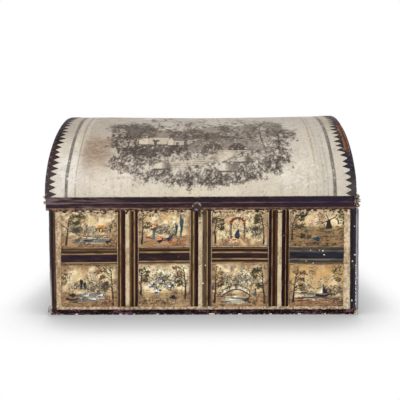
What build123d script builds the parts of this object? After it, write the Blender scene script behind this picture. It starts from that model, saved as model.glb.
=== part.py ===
# Trunk-shaped keepsake box of pasteboard covered in paper, with a domed lid, a cloth hinge and a
# small brass hook. Millimetres. The origin is the centre of the base on the table, +X is the
# viewer's right, the front faces -Y and +Z is up.
from build123d import *
import math
import os

# Boards and papers
board = 3.0
paper = 0.3
cloth = 0.5

# Trunk body, measured over the boards
body_width = 306.0
body_depth = 200.0
body_height = 105.0
corner_radius = 1.5

# Lid, measured over the boards and as wide as the body. It sits a little to the left and
# stands out over the front, as the old board has warped.
lid_shift = -2.8
lid_overhang = 1.5
rim_height = 13.0
dome_rise = 82.0
shoulder_radius = 64.0

# Papers on the front. The pictures share the width that is left, each with its own trim.
picture_trims = (2.1, -3.3, 1.6, -0.4)
upright_widths = (7.5, 8.4, 7.9, 8.5, 8.9, 7.0)
upright_gap = 4.0
corner_edging_width = 7.0
left_margin = 3.5
right_margin = 7.4
picture_gap = 0.75
bottom_edging_height = 5.5
bottom_margin = 3.0
lower_picture_height = 41.3
cross_strip_height = 16.3
top_margin = 1.7
lining_setback = 0.5

# Toothed bands at the ends of the dome
band_width = 3.0
tooth_length = 6.0
tooth_pitch = 7.0
band_turnover = 4.0

# Cloth hinge
hinge_leaf_height = 12.0

# Clasp: a rosette and a split pin on the lid, a flat hook between them, a stud on the body.
# An edge flat is what a rounding leaves straight of the edge's height.
pivot_offset = -3.3
pivot_drop = 9.7
rosette_radius = 4.7
rosette_thickness = 0.7
rosette_bead = 0.55
bead_edge_flat = 0.055
pin_radius = 0.8
pin_head_radius = 1.7
pin_edge_flat = 0.14
pin_leg_length = 4.0
pin_leg_width = 1.2
pin_leg_thickness = 0.5
hook_thickness = 0.6
hook_play = 0.1
hook_clearance = 0.15
hook_hub_radius = 2.0
hook_half_width = 1.2
hook_reach = 8.4
hook_tip = 1.9
hook_slant = 18.0
stud_shank_radius = 0.4
stud_head_radius = 1.0
stud_head_thickness = 0.6
stud_edge_flat = 0.12
stud_clearance = 0.3
stud_clinch_radius = 1.5

# Places worked out from the sizes above
half_width = body_width / 2
half_depth = body_depth / 2
wall_height = body_height - paper
inner_width = body_width - 2 * board
inner_depth = body_depth - 2 * board
floor_top = paper + board

rim_top = body_height + rim_height
lid_width = body_width
lid_half_width = lid_width / 2
lid_front = -half_depth - lid_overhang
lid_back = half_depth
arch_half = (lid_back - lid_front) / 2
arch_middle = (lid_back + lid_front) / 2
crown_radius = (
    (arch_half - shoulder_radius) ** 2 + dome_rise**2 - shoulder_radius**2
) / (2 * (dome_rise - shoulder_radius))
shoulder_y = arch_half - shoulder_radius
crown_z = dome_rise - crown_radius
shoulder_sweep = math.degrees(math.atan2(-crown_z, shoulder_y))


def arch_points(offset, angle):
    """Point (y, z) of the arch, moved out by offset, at an angle from the +Y springing line."""
    if angle <= shoulder_sweep:
        centre = (shoulder_y, 0.0)
        radius = shoulder_radius + offset
    elif angle >= 180 - shoulder_sweep:
        centre = (-shoulder_y, 0.0)
        radius = shoulder_radius + offset
    else:
        centre = (0.0, crown_z)
        radius = crown_radius + offset
    turn = math.radians(angle)
    return (
        arch_middle + centre[0] + radius * math.cos(turn),
        rim_top + centre[1] + radius * math.sin(turn),
    )


def arch_lines(offset):
    """Three tangent arcs over the lid, from the back springing line to the front one."""
    back_foot = arch_points(offset, 0)
    back_joint = arch_points(offset, shoulder_sweep)
    crown = arch_points(offset, 90)
    front_joint = arch_points(offset, 180 - shoulder_sweep)
    front_foot = arch_points(offset, 180)
    ThreePointArc(back_foot, arch_points(offset, shoulder_sweep / 2), back_joint)
    ThreePointArc(back_joint, crown, front_joint)
    ThreePointArc(front_joint, arch_points(offset, 180 - shoulder_sweep / 2), front_foot)
    return back_foot, front_foot


def arched_plate(offset, low):
    """Profile under the arch, down to the height low."""
    with BuildSketch() as plate:
        with BuildLine():
            back_foot, front_foot = arch_lines(offset)
            corners = [front_foot, back_foot]
            if low < rim_top:
                corners[1:1] = [(front_foot[0], low), (back_foot[0], low)]
            Polyline(*corners)
        make_face()
    return plate.sketch


def arched_strip(inner, outer):
    """Profile between two arches, from springing line to springing line."""
    with BuildSketch() as strip:
        with BuildLine():
            outer_back, outer_front = arch_lines(outer)
            inner_back, inner_front = arch_lines(inner)
            Line(outer_back, inner_back)
            Line(outer_front, inner_front)
        make_face()
    return strip.sketch


# Body casing
with BuildPart() as base_paper:
    with BuildSketch():
        RectangleRounded(body_width, body_depth, corner_radius)
    extrude(amount=paper)

with BuildPart() as bottom_board:
    with BuildSketch(Plane.XY.offset(paper)):
        Rectangle(inner_width, inner_depth)
    extrude(amount=board)


def wall_board(side):
    """Board across the whole front (side -1) or back (side 1), with rounded outer corners."""
    with BuildPart() as wall:
        with BuildSketch(Plane.XY.offset(paper)):
            with Locations((0, side * (half_depth - board / 2))):
                Rectangle(body_width, board)
        extrude(amount=wall_height)
        outer_edges = wall.edges().filter_by(Axis.Z).group_by(Axis.Y)[0 if side < 0 else -1]
        fillet(outer_edges, corner_radius)
    return wall


def end_wall_board(side):
    """Board between the front and back boards, at the left (side -1) or right (side 1)."""
    with BuildPart() as wall:
        with BuildSketch(Plane.XY.offset(paper)):
            with Locations((side * (half_width - board / 2), 0)):
                Rectangle(board, inner_depth)
        extrude(amount=wall_height)
    return wall


front_board = wall_board(-1)
back_board = wall_board(1)
left_board = end_wall_board(-1)
right_board = end_wall_board(1)

# Cover papers of the body. They stop where the corners begin to turn.
front_face = Plane((0, -half_depth, 0), x_dir=(1, 0, 0), z_dir=(0, -1, 0))
back_face = Plane((0, half_depth, 0), x_dir=(-1, 0, 0), z_dir=(0, 1, 0))
left_face = Plane((-half_width, 0, 0), x_dir=(0, -1, 0), z_dir=(-1, 0, 0))
right_face = Plane((half_width, 0, 0), x_dir=(0, 1, 0), z_dir=(1, 0, 0))
picture_face = front_face.offset(paper)
strip_face = front_face.offset(2 * paper)


def sheet(face, left, right, low, high, thickness=paper):
    """Flat sheet on a face plane, between two upright and two level edges."""
    with BuildPart() as piece:
        with BuildSketch(face):
            with Locations(((left + right) / 2, (low + high) / 2)):
                Rectangle(right - left, high - low)
        extrude(amount=thickness)
    return piece


def bored(piece, face, place, radius, thickness):
    """Copy of a sheet or board with a round hole through it, from a face plane inwards."""
    with BuildPart() as holed:
        add(piece.part)
        with BuildSketch(face):
            with Locations(place):
                Circle(radius)
        extrude(amount=-thickness, mode=Mode.SUBTRACT)
    return holed


flat_half_width = half_width - corner_radius
flat_half_depth = half_depth - corner_radius

# Stud on the body that the hook catches. It clears the hook's tip when the lid lifts.
pivot_x = lid_shift + pivot_offset
pivot_z = rim_top - pivot_drop
slant = math.radians(hook_slant)
hook_tip_reach = hook_reach + hook_tip
hook_edge = hook_tip_reach * math.sin(slant) + hook_half_width * math.cos(slant)
stud_side = hook_edge + stud_clearance + stud_head_radius
stud_x = pivot_x + stud_side
stud_z = pivot_z - math.sqrt(hook_reach**2 - stud_side**2)
stud_place = (stud_x, stud_z)

front_paper = sheet(front_face, -flat_half_width, flat_half_width, paper, body_height)
front_paper = bored(front_paper, picture_face, stud_place, stud_shank_radius, paper)
back_paper = sheet(back_face, -flat_half_width, flat_half_width, paper, body_height)
left_side_paper = sheet(left_face, -flat_half_depth, flat_half_depth, paper, body_height)
right_side_paper = sheet(right_face, -flat_half_depth, flat_half_depth, paper, body_height)

front_board = bored(front_board, front_face, stud_place, stud_shank_radius, board)

# Pictures and strips on the front, laid out from the left
lower_picture_low = bottom_edging_height + bottom_margin
lower_picture_high = lower_picture_low + lower_picture_height
cross_low = lower_picture_high + picture_gap
cross_high = cross_low + cross_strip_height
upper_picture_low = cross_high + picture_gap
upper_picture_high = body_height - top_margin
strip_low = bottom_edging_height + bottom_margin
strip_high = body_height - picture_gap

columns = len(picture_trims)
pairs = columns - 1
picture_run = body_width - 2 * corner_edging_width - left_margin - right_margin
picture_run -= sum(upright_widths) + pairs * (upright_gap + 2 * picture_gap)
mean_picture_width = (picture_run - sum(picture_trims)) / columns

named_pieces = {}
cursor = -half_width + corner_edging_width + left_margin
for column, trim in enumerate(picture_trims, start=1):
    left = cursor
    right = cursor + mean_picture_width + trim
    lower = sheet(picture_face, left, right, lower_picture_low, lower_picture_high)
    cross = sheet(picture_face, left, right, cross_low, cross_high)
    upper = sheet(picture_face, left, right, upper_picture_low, upper_picture_high)
    named_pieces[f"lower_print_{column}"] = lower
    named_pieces[f"cross_strip_{column}"] = cross
    named_pieces[f"upper_print_{column}"] = upper
    cursor = right + picture_gap
    if column < columns:
        for place in (2 * column - 1, 2 * column):
            strip_width = upright_widths[place - 1]
            strip = sheet(picture_face, cursor, cursor + strip_width, strip_low, strip_high)
            strip = bored(strip, strip_face, stud_place, stud_shank_radius, paper)
            named_pieces[f"upright_strip_{place}"] = strip
            cursor = cursor + strip_width + upright_gap
        cursor = cursor - upright_gap + picture_gap

# Dark edgings bent round the upright corners, over the cover papers
edging_low = bottom_edging_height + paper


def corner_edging(side_x, side_y):
    """L-shaped strip round one corner, with its bend on the corner's radius."""
    inner_grow = 2 * paper
    outer_grow = 4 * paper
    centre = (
        side_x * (half_width + 2 * paper - corner_edging_width / 2),
        side_y * (half_depth + 2 * paper - corner_edging_width / 2),
    )
    with BuildPart() as edging:
        with BuildSketch(Plane.XY.offset(edging_low)):
            RectangleRounded(
                body_width + outer_grow, body_depth + outer_grow, corner_radius + 2 * paper
            )
            RectangleRounded(
                body_width + inner_grow,
                body_depth + inner_grow,
                corner_radius + paper,
                mode=Mode.SUBTRACT,
            )
            with Locations(centre):
                Rectangle(corner_edging_width, corner_edging_width, mode=Mode.INTERSECT)
        extrude(amount=body_height - edging_low)
    return edging


for side_y, row in ((-1, "front"), (1, "back")):
    for side_x, end in ((-1, "left"), (1, "right")):
        named_pieces[f"corner_edging_{row}_{end}"] = corner_edging(side_x, side_y)

# One dark strip folded round the foot, over the cover papers
with BuildPart() as bottom_edging:
    with BuildSketch(Plane.XY.offset(paper)):
        RectangleRounded(
            body_width + 4 * paper, body_depth + 4 * paper, corner_radius + 2 * paper
        )
        RectangleRounded(
            body_width + 2 * paper,
            body_depth + 2 * paper,
            corner_radius + paper,
            mode=Mode.SUBTRACT,
        )
    extrude(amount=bottom_edging_height)

# Lining papers of the body
lining_top = body_height - lining_setback

with BuildPart() as floor_lining:
    with BuildSketch(Plane.XY.offset(floor_top)):
        Rectangle(inner_width, inner_depth)
    extrude(amount=paper)

with BuildPart() as wall_lining:
    with BuildSketch(Plane.XY.offset(floor_top + paper)):
        Rectangle(inner_width, inner_depth)
        Rectangle(inner_width - 2 * paper, inner_depth - 2 * paper, mode=Mode.SUBTRACT)
    extrude(amount=lining_top - floor_top - paper)
    with BuildSketch(front_face.offset(-board)):
        with Locations(stud_place):
            Circle(stud_shank_radius)
    extrude(amount=-paper, mode=Mode.SUBTRACT)

# Lid casing
lid_left = lid_shift - lid_half_width
lid_right = lid_shift + lid_half_width
lid_front_face = Plane((lid_shift, lid_front, 0), x_dir=(1, 0, 0), z_dir=(0, -1, 0))
lid_left_plane = Plane.YZ.offset(lid_left)
lid_right_plane = Plane.YZ.offset(lid_right)
pivot_place = (pivot_offset, pivot_z)

with BuildPart() as lid_front_board:
    with BuildSketch(Plane.XY.offset(body_height)):
        with Locations((lid_shift, lid_front + board / 2)):
            Rectangle(lid_width, board)
    extrude(amount=rim_height)
    fillet(lid_front_board.edges().filter_by(Axis.Z).group_by(Axis.Y)[0], corner_radius)
    with BuildSketch(lid_front_face):
        with Locations(pivot_place):
            Circle(pin_radius)
    extrude(amount=-board, mode=Mode.SUBTRACT)

with BuildPart() as lid_back_board:
    with BuildSketch(Plane.XY.offset(body_height)):
        with Locations((lid_shift, lid_back - board / 2)):
            Rectangle(lid_width, board)
    extrude(amount=rim_height)


def arched_end(plane, offset, low, amount):
    """Flat piece with an arched top, from a plane across the lid."""
    profile = arched_plate(offset, low)
    with BuildPart() as end:
        with BuildSketch(plane):
            add(profile)
        extrude(amount=amount)
    return end


def arched_sheet(plane, inner, outer, amount):
    """Sheet bent over the arch, from a plane across the lid."""
    profile = arched_strip(inner, outer)
    with BuildPart() as bent:
        with BuildSketch(plane):
            add(profile)
        extrude(amount=amount)
    return bent


lid_left_end = arched_end(lid_left_plane, -board, body_height, board)
lid_right_end = arched_end(lid_right_plane, -board, body_height, -board)
dome_board = arched_sheet(lid_left_plane, -board, 0, lid_width)

# Cover papers of the lid
dome_paper = arched_sheet(lid_left_plane, 0, paper, lid_width)
left_end_paper = arched_end(lid_left_plane, paper, rim_top, -paper)
right_end_paper = arched_end(lid_right_plane, paper, rim_top, paper)

# The rim band runs round the front and both sides, up to the back face.
with BuildPart() as rim_band:
    with BuildSketch(Plane.XY.offset(body_height)):
        with Locations((lid_shift, arch_middle)):
            RectangleRounded(
                lid_width + 2 * paper, 2 * arch_half + 2 * paper, corner_radius + paper
            )
        with Locations((lid_shift, arch_middle)):
            RectangleRounded(lid_width, 2 * arch_half, corner_radius, mode=Mode.SUBTRACT)
        with Locations((lid_shift, lid_back - corner_radius + board)):
            Rectangle(lid_width + 2 * board, 2 * board, mode=Mode.SUBTRACT)
    extrude(amount=rim_height)
    with BuildSketch(lid_front_face):
        with Locations(pivot_place):
            Circle(pin_radius)
    extrude(amount=paper, mode=Mode.SUBTRACT)

# Toothed bands: a strip over each end of the dome, cut into teeth, and turned over the end
arch_length = 2 * math.radians(shoulder_sweep) * shoulder_radius
arch_length += math.radians(180 - 2 * shoulder_sweep) * crown_radius
tooth_count = round(arch_length / tooth_pitch)


def arch_angle(length):
    """Angle of the point at a length along the arch from the back springing line."""
    shoulder_length = math.radians(shoulder_sweep) * shoulder_radius
    crown_length = arch_length - 2 * shoulder_length
    if length < shoulder_length:
        return math.degrees(length / shoulder_radius)
    if length > shoulder_length + crown_length:
        return 180 - math.degrees((arch_length - length) / shoulder_radius)
    return shoulder_sweep + math.degrees((length - shoulder_length) / crown_radius)


def toothed_band(plane, outward):
    """Band over one end of the dome, with its teeth pointing to the middle of the lid."""
    edge_x = plane.origin.X
    notch_half = arch_length / tooth_count / 2
    band_total = band_width + tooth_length
    over_dome = arched_strip(paper, 2 * paper)
    over_end = arched_strip(-band_turnover, 2 * paper)
    with BuildPart() as band:
        with BuildSketch(plane.offset(outward * 2 * paper)):
            add(over_dome)
        extrude(amount=-outward * (band_total + 2 * paper))
        with BuildSketch(plane.offset(outward * paper)):
            add(over_end)
        extrude(amount=outward * paper)
        for notch in range(tooth_count + 1):
            angle = arch_angle(min(notch * 2 * notch_half, arch_length))
            place_y, place_z = arch_points(paper, angle)
            normal = (0, math.cos(math.radians(angle)), math.sin(math.radians(angle)))
            notch_plane = Plane((edge_x, place_y, place_z), x_dir=(-outward, 0, 0), z_dir=normal)
            with BuildSketch(notch_plane.offset(-paper)):
                with BuildLine():
                    Polyline(
                        (band_width, 0),
                        (band_total + paper, notch_half),
                        (band_total + paper, -notch_half),
                        close=True,
                    )
                make_face()
            extrude(amount=4 * paper, mode=Mode.SUBTRACT)
    return band


sawtooth_band_left = toothed_band(lid_left_plane, -1)
sawtooth_band_right = toothed_band(lid_right_plane, 1)

# Lining papers of the lid
lining_outside = arched_plate(-board, body_height)
lining_inside = arched_plate(-board - paper, body_height)
lining_length = lid_width - 2 * board
with BuildPart() as lid_lining:
    with BuildSketch(lid_left_plane.offset(board)):
        add(lining_outside)
        add(lining_inside, mode=Mode.SUBTRACT)
    extrude(amount=lining_length)
lid_lining = bored(lid_lining, lid_front_face.offset(-board), pivot_place, pin_radius, paper)
left_end_lining = arched_end(lid_left_plane.offset(board), -board - paper, body_height, paper)
right_end_lining = arched_end(lid_right_plane.offset(-board), -board - paper, body_height, -paper)

# Cloth hinge on the back, over the papers. It folds on the line where its two halves meet.
hinge_half_width = half_width - corner_edging_width - abs(lid_shift)
hinge_low = body_height - hinge_leaf_height
hinge_high = body_height + hinge_leaf_height
hinge_cloth_body = sheet(
    back_face.offset(paper), -hinge_half_width, hinge_half_width, hinge_low, body_height, cloth
)
hinge_cloth_lid = sheet(
    back_face, -hinge_half_width, hinge_half_width, body_height, hinge_high, paper + cloth
)

# Clasp. Distances out from the lid's front board, in the order in which the pieces are stacked.
band_face = paper
hook_back = band_face + hook_play
hook_front = hook_back + hook_thickness
rosette_back = hook_front + hook_play
rosette_front = rosette_back + rosette_thickness
pin_head_thickness = rosette_thickness

with BuildPart() as clasp_rosette:
    with BuildSketch(lid_front_face.offset(rosette_back)):
        with Locations(pivot_place):
            Circle(rosette_radius)
            Circle(pin_radius, mode=Mode.SUBTRACT)
    extrude(amount=rosette_thickness)
    with BuildSketch(lid_front_face.offset(rosette_front)):
        with Locations(pivot_place):
            Circle(rosette_radius)
            Circle(rosette_radius - 2 * rosette_bead, mode=Mode.SUBTRACT)
    extrude(amount=rosette_bead)
    bead_edges = clasp_rosette.edges().filter_by(GeomType.CIRCLE).group_by(Axis.Y)[0]
    fillet(bead_edges, rosette_bead - bead_edge_flat)

with BuildPart() as clasp_pin:
    with BuildSketch(lid_front_face.offset(-board - paper)):
        with Locations(pivot_place):
            Circle(pin_radius)
    extrude(amount=board + paper + rosette_front)
    with BuildSketch(lid_front_face.offset(rosette_front)):
        with Locations(pivot_place):
            Circle(pin_head_radius)
    extrude(amount=pin_head_thickness)
    head_edge = clasp_pin.edges().filter_by(GeomType.CIRCLE).group_by(Axis.Y)[0]
    fillet(head_edge, pin_head_thickness - pin_edge_flat)
    with BuildSketch(lid_front_face.offset(-board - paper)):
        with Locations(pivot_place):
            Rectangle(2 * pin_leg_length, pin_leg_width)
    extrude(amount=-pin_leg_thickness)

# The hook hangs at a slant. Its slot opens towards the stud and runs round it when latched.
hook_down = Plane(
    origin=(pivot_x, lid_front - hook_back, pivot_z),
    x_dir=(math.sin(slant), 0, -math.cos(slant)),
    z_dir=(0, -1, 0),
)
slot_half_width = stud_shank_radius + stud_clearance

with BuildPart() as catch_hook:
    with BuildSketch(hook_down):
        Circle(hook_hub_radius)
        with Locations((hook_tip_reach / 2, 0)):
            Rectangle(hook_tip_reach, 2 * hook_half_width)
        Circle(pin_radius + hook_clearance, mode=Mode.SUBTRACT)
        with Locations((hook_reach, 0)):
            Circle(slot_half_width, mode=Mode.SUBTRACT)
        with Locations((hook_reach, hook_half_width)):
            Rectangle(2 * slot_half_width, 2 * hook_half_width, mode=Mode.SUBTRACT)
    extrude(amount=hook_thickness)
    tip_edges = catch_hook.edges().filter_by(Axis.Y).sort_by(Axis.Z)[:2]
    fillet(tip_edges, hook_half_width / 2)

# The stud's head stands clear in front of the hook.
stud_head_back = lid_overhang + hook_front + stud_clearance
with BuildPart() as catch_stud:
    with BuildSketch(front_face.offset(-board - paper)):
        with Locations(stud_place):
            Circle(stud_shank_radius)
    extrude(amount=board + paper + stud_head_back)
    with BuildSketch(front_face.offset(stud_head_back)):
        with Locations(stud_place):
            Circle(stud_head_radius)
    extrude(amount=stud_head_thickness)
    stud_edge = catch_stud.edges().filter_by(GeomType.CIRCLE).group_by(Axis.Y)[0]
    fillet(stud_edge, stud_head_thickness - stud_edge_flat)
    with BuildSketch(front_face.offset(-board - paper)):
        with Locations(stud_place):
            Circle(stud_clinch_radius)
    extrude(amount=-pin_leg_thickness)

named_pieces.update(
    {
        "base_paper": base_paper,
        "bottom_board": bottom_board,
        "front_board": front_board,
        "back_board": back_board,
        "left_board": left_board,
        "right_board": right_board,
        "front_paper": front_paper,
        "back_paper": back_paper,
        "left_side_paper": left_side_paper,
        "right_side_paper": right_side_paper,
        "bottom_edging": bottom_edging,
        "floor_lining": floor_lining,
        "wall_lining": wall_lining,
        "hinge_cloth_body": hinge_cloth_body,
        "catch_stud": catch_stud,
        "lid_front_board": lid_front_board,
        "lid_back_board": lid_back_board,
        "lid_left_end": lid_left_end,
        "lid_right_end": lid_right_end,
        "dome_board": dome_board,
        "dome_paper": dome_paper,
        "left_end_paper": left_end_paper,
        "right_end_paper": right_end_paper,
        "rim_band": rim_band,
        "sawtooth_band_left": sawtooth_band_left,
        "sawtooth_band_right": sawtooth_band_right,
        "lid_lining": lid_lining,
        "left_end_lining": left_end_lining,
        "right_end_lining": right_end_lining,
        "hinge_cloth_lid": hinge_cloth_lid,
        "clasp_rosette": clasp_rosette,
        "clasp_pin": clasp_pin,
        "catch_hook": catch_hook,
    }
)

os.makedirs("parts", exist_ok=True)
for name, piece in named_pieces.items():
    piece.part.label = name
    export_step(piece.part, f"parts/{name}.step")
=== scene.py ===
"""Looks of a paper-covered pasteboard trunk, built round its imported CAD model. Metres, in the row frame."""
import math

import bpy
import numpy as np
from mathutils import Matrix, Vector


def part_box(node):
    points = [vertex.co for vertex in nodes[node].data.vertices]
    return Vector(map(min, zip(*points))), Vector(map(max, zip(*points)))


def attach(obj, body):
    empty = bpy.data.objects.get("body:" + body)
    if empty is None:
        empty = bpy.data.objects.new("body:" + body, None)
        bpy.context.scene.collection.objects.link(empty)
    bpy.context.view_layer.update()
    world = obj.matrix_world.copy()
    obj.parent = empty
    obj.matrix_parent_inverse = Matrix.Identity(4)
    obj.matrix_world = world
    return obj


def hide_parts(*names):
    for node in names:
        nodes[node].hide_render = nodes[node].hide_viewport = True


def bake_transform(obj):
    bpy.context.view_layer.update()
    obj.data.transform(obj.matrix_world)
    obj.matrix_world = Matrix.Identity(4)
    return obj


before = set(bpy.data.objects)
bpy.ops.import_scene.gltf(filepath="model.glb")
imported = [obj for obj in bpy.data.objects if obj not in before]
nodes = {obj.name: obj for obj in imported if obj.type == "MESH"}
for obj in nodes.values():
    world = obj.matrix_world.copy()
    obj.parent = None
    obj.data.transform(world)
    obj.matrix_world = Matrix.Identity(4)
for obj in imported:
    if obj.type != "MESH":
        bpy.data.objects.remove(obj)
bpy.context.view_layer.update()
MM = 0.001
FINE = 1.0


def unit(values):
    """Values held between 0 and 1."""
    return np.clip(values, 0, 1)


def linear(c):
    """Linear light from a display colour, each part from 0 to 1."""
    c = np.asarray(c, float)
    return np.where(c <= 0.04045, c / 12.92, ((c + 0.055) / 1.055) ** 2.4)


def rgb(*values):
    """Shader colour from a display colour written with parts from 0 to 255."""
    return tuple(float(v) for v in linear(np.array(values) / 255)) + (1.0,)


# Materials
EDGE_REACH = 4.0
NOISE_ROUGHNESS = 0.55
BUMP_STRENGTH = 0.7
STRIPE_EDGE = 0.012
SEED_SHIFT = (1.7, 0.9, 2.3)
# Colour sockets of a Mix node
UNDER, OVER = 6, 7


class Tree:
    """The nodes of a material or of the world."""

    def __init__(self, owner):
        owner.use_nodes = True
        self.tree = owner.node_tree
        self.tree.nodes.clear()

    def node(self, kind, **settings):
        made = self.tree.nodes.new(kind)
        for key, value in settings.items():
            setattr(made, key, value)
        return made

    def link(self, a, b):
        self.tree.links.new(a, b)

    def math(self, operation, a, b=None):
        made = self.node("ShaderNodeMath", operation=operation)
        for socket, value in zip(made.inputs, (a, b)):
            if isinstance(value, (int, float)):
                socket.default_value = value
            elif value is not None:
                self.link(value, socket)
        return made.outputs[0]

    def both(self, *masks):
        """1 where all the masks are 1."""
        mask = masks[0]
        for other in masks[1:]:
            mask = self.math("MULTIPLY", mask, other)
        return mask


class Shader(Tree):
    """A procedural material, put together from layers. Colours are display colours from 0 to 255."""

    def __init__(self, name, colour, roughness, seed):
        self.material = bpy.data.materials.new(name)
        super().__init__(self.material)
        out = self.node("ShaderNodeOutputMaterial")
        self.shader = self.node("ShaderNodeBsdfPrincipled")
        self.link(self.shader.outputs[0], out.inputs[0])
        self.shader.inputs["Roughness"].default_value = roughness
        self.place = self.node("ShaderNodeTexCoord").outputs["Object"]
        shift = self.node("ShaderNodeMapping")
        shift.inputs["Location"].default_value = [seed * part for part in SEED_SHIFT]
        self.link(self.place, shift.inputs[0])
        self.shifted = shift.outputs[0]
        self.heights = []
        if colour is not None:
            solid = self.node("ShaderNodeRGB")
            solid.outputs[0].default_value = rgb(*colour)
            self.colour = solid.outputs[0]

    def noise(self, size, low, high, detail=3.0, stretch=(1, 1, 1)):
        """Patches of about size mm: 0 below low, 1 above high."""
        mapped = self.node("ShaderNodeMapping")
        mapped.inputs["Scale"].default_value = stretch
        self.link(self.shifted, mapped.inputs[0])
        made = self.node("ShaderNodeTexNoise")
        made.inputs["Scale"].default_value = 1 / (size * MM)
        made.inputs["Detail"].default_value = detail
        made.inputs["Roughness"].default_value = NOISE_ROUGHNESS
        self.link(mapped.outputs[0], made.inputs["Vector"])
        return self.span(made.outputs[0], low, high)

    def span(self, value, low, high):
        """0 at low and 1 at high, smooth between."""
        made = self.node("ShaderNodeMapRange", interpolation_type="SMOOTHSTEP")
        made.inputs["From Min"].default_value = low
        made.inputs["From Max"].default_value = high
        self.link(value, made.inputs[0])
        return made.outputs[0]

    def marks(self, part):
        """Part of the attribute that paper() writes: edge, across or along."""
        attribute = self.node("ShaderNodeAttribute", attribute_name="marks")
        split = self.node("ShaderNodeSeparateColor")
        self.link(attribute.outputs["Color"], split.inputs[0])
        return split.outputs[("edge", "across", "along").index(part)]

    def painted(self):
        """Starts from the colours that paper() writes at the points."""
        self.colour = self.node("ShaderNodeAttribute", attribute_name="paint").outputs["Color"]

    def axis(self, letter):
        split = self.node("ShaderNodeSeparateXYZ")
        self.link(self.place, split.inputs[0])
        return split.outputs["XYZ".index(letter)]

    def past(self, letter, low, high):
        """0 at low mm on an axis and 1 at high mm."""
        return self.span(self.axis(letter), low * MM, high * MM)

    def away(self, x, z, radius=1.0, long=1.0):
        """Distance from a place on an upright face: radius mm counts as 1, and long times that along X."""
        dx = self.math("DIVIDE", self.math("SUBTRACT", self.axis("X"), x * MM), long)
        dz = self.math("SUBTRACT", self.axis("Z"), z * MM)
        squares = self.math("ADD", self.both(dx, dx), self.both(dz, dz))
        return self.math("DIVIDE", self.math("SQRT", squares), radius * MM)

    def box(self, x_low, x_high, z_low, z_high, soft=0.3):
        """1 within a box on an upright face, in mm."""
        return self.both(
            self.past("X", x_low - soft, x_low), self.past("X", x_high + soft, x_high),
            self.past("Z", z_low - soft, z_low), self.past("Z", z_high + soft, z_high),
        )

    def spot(self, x, z, radius, long=1.0):
        """1 about a place on an upright face, with a bushy outline."""
        away = self.away(x, z, radius, long)
        away = self.math("ADD", away, self.math("SUBTRACT", self.noise(0.9, 0.2, 0.8, 2), 0.5))
        return self.span(away, 1.15, 0.85)

    def lay(self, mask, colour, amount):
        """A layer of colour over what is there, where the mask is 1."""
        made = self.node("ShaderNodeMix", data_type="RGBA")
        self.link(self.math("MULTIPLY", mask, amount), made.inputs[0])
        self.link(self.colour, made.inputs[UNDER])
        made.inputs[OVER].default_value = rgb(*colour)
        self.colour = made.outputs[2]

    def patches(self, *rows, where=None):
        """Layers in patches: each row is (size, low, high, detail, colour, amount) and maybe a stretch."""
        for size, low, high, detail, colour, amount, *stretch in rows:
            mask = self.noise(size, low, high, detail, *stretch)
            self.lay(mask if where is None else self.both(where, mask), colour, amount)

    def stripes(self, value, stops):
        """Bands of colour along a value from 0 to 1: each stop is (place, colour)."""
        ramp = self.node("ShaderNodeValToRGB")
        elements = ramp.color_ramp.elements
        while len(elements) > 1:
            elements.remove(elements[-1])
        ends = [place for place, _ in stops[1:]]
        flat = []
        for (place, colour), end in zip(stops, ends + [None]):
            flat.append((place + STRIPE_EDGE if flat else 0.0, colour))
            if end is not None:
                flat.append((end - STRIPE_EDGE, colour))
        elements[0].position, elements[0].color = 0.0, rgb(*flat[0][1])
        for place, colour in flat[1:]:
            elements.new(min(max(place, 0), 1)).color = rgb(*colour)
        self.link(value, ramp.inputs[0])
        self.colour = ramp.outputs[0]

    def bump(self, distance, size, low=0.3, high=0.7, detail=3, stretch=(1, 1, 1)):
        """Raised patches, distance mm high."""
        self.heights.append((self.noise(size, low, high, detail, stretch), distance))

    def rough(self, mask, low, high):
        """Roughness from low to high with the mask."""
        made = self.node("ShaderNodeMapRange")
        made.inputs["To Min"].default_value = low
        made.inputs["To Max"].default_value = high
        self.link(mask, made.inputs[0])
        self.link(made.outputs[0], self.shader.inputs["Roughness"])

    def done(self, specular=0.3, metallic=0.0, sheen=0.0):
        """Links the colour and the bumps to the shader, and gives the material."""
        self.link(self.colour, self.shader.inputs["Base Color"])
        self.shader.inputs["Metallic"].default_value = metallic
        self.shader.inputs["Specular IOR Level"].default_value = specular
        self.shader.inputs["Sheen Weight"].default_value = sheen
        normal = None
        for height, distance in self.heights:
            made = self.node("ShaderNodeBump")
            made.inputs["Distance"].default_value = distance * MM
            made.inputs["Strength"].default_value = BUMP_STRENGTH
            self.link(height, made.inputs["Height"])
            if normal is not None:
                self.link(normal, made.inputs["Normal"])
            normal = made.outputs[0]
        if normal is not None:
            self.link(normal, self.shader.inputs["Normal"])
        return self.material


def aged(look, stain, stained, speck, specked, dust, dusted):
    """Age of a paper: stains, dust, specks and the fibre's bump."""
    look.patches(
        (45, 0.5, 0.72, 4, stain, stained), (14, 0.52, 0.75, 4, stain, stained * 0.6),
        (22, 0.5, 0.75, 5, dust, dusted),
        (1.6, 0.66, 0.74, 2, speck, specked), (5.0, 0.70, 0.76, 2, speck, specked * 0.7),
    )
    look.bump(0.05, 0.8, 0.2, 0.8)
    look.bump(0.35, 12, 0.2, 0.8, 2)


def worn_edges(look, colour, width, amount, low, high, size):
    """Paper rubbed through along the edges of the piece: width is the rubbed part in mm."""
    edge = look.math("SUBTRACT", 1.0, look.span(look.marks("edge"), 0.0, width / EDGE_REACH))
    look.patches((size, low, high, 4, colour, amount), where=edge)


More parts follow.
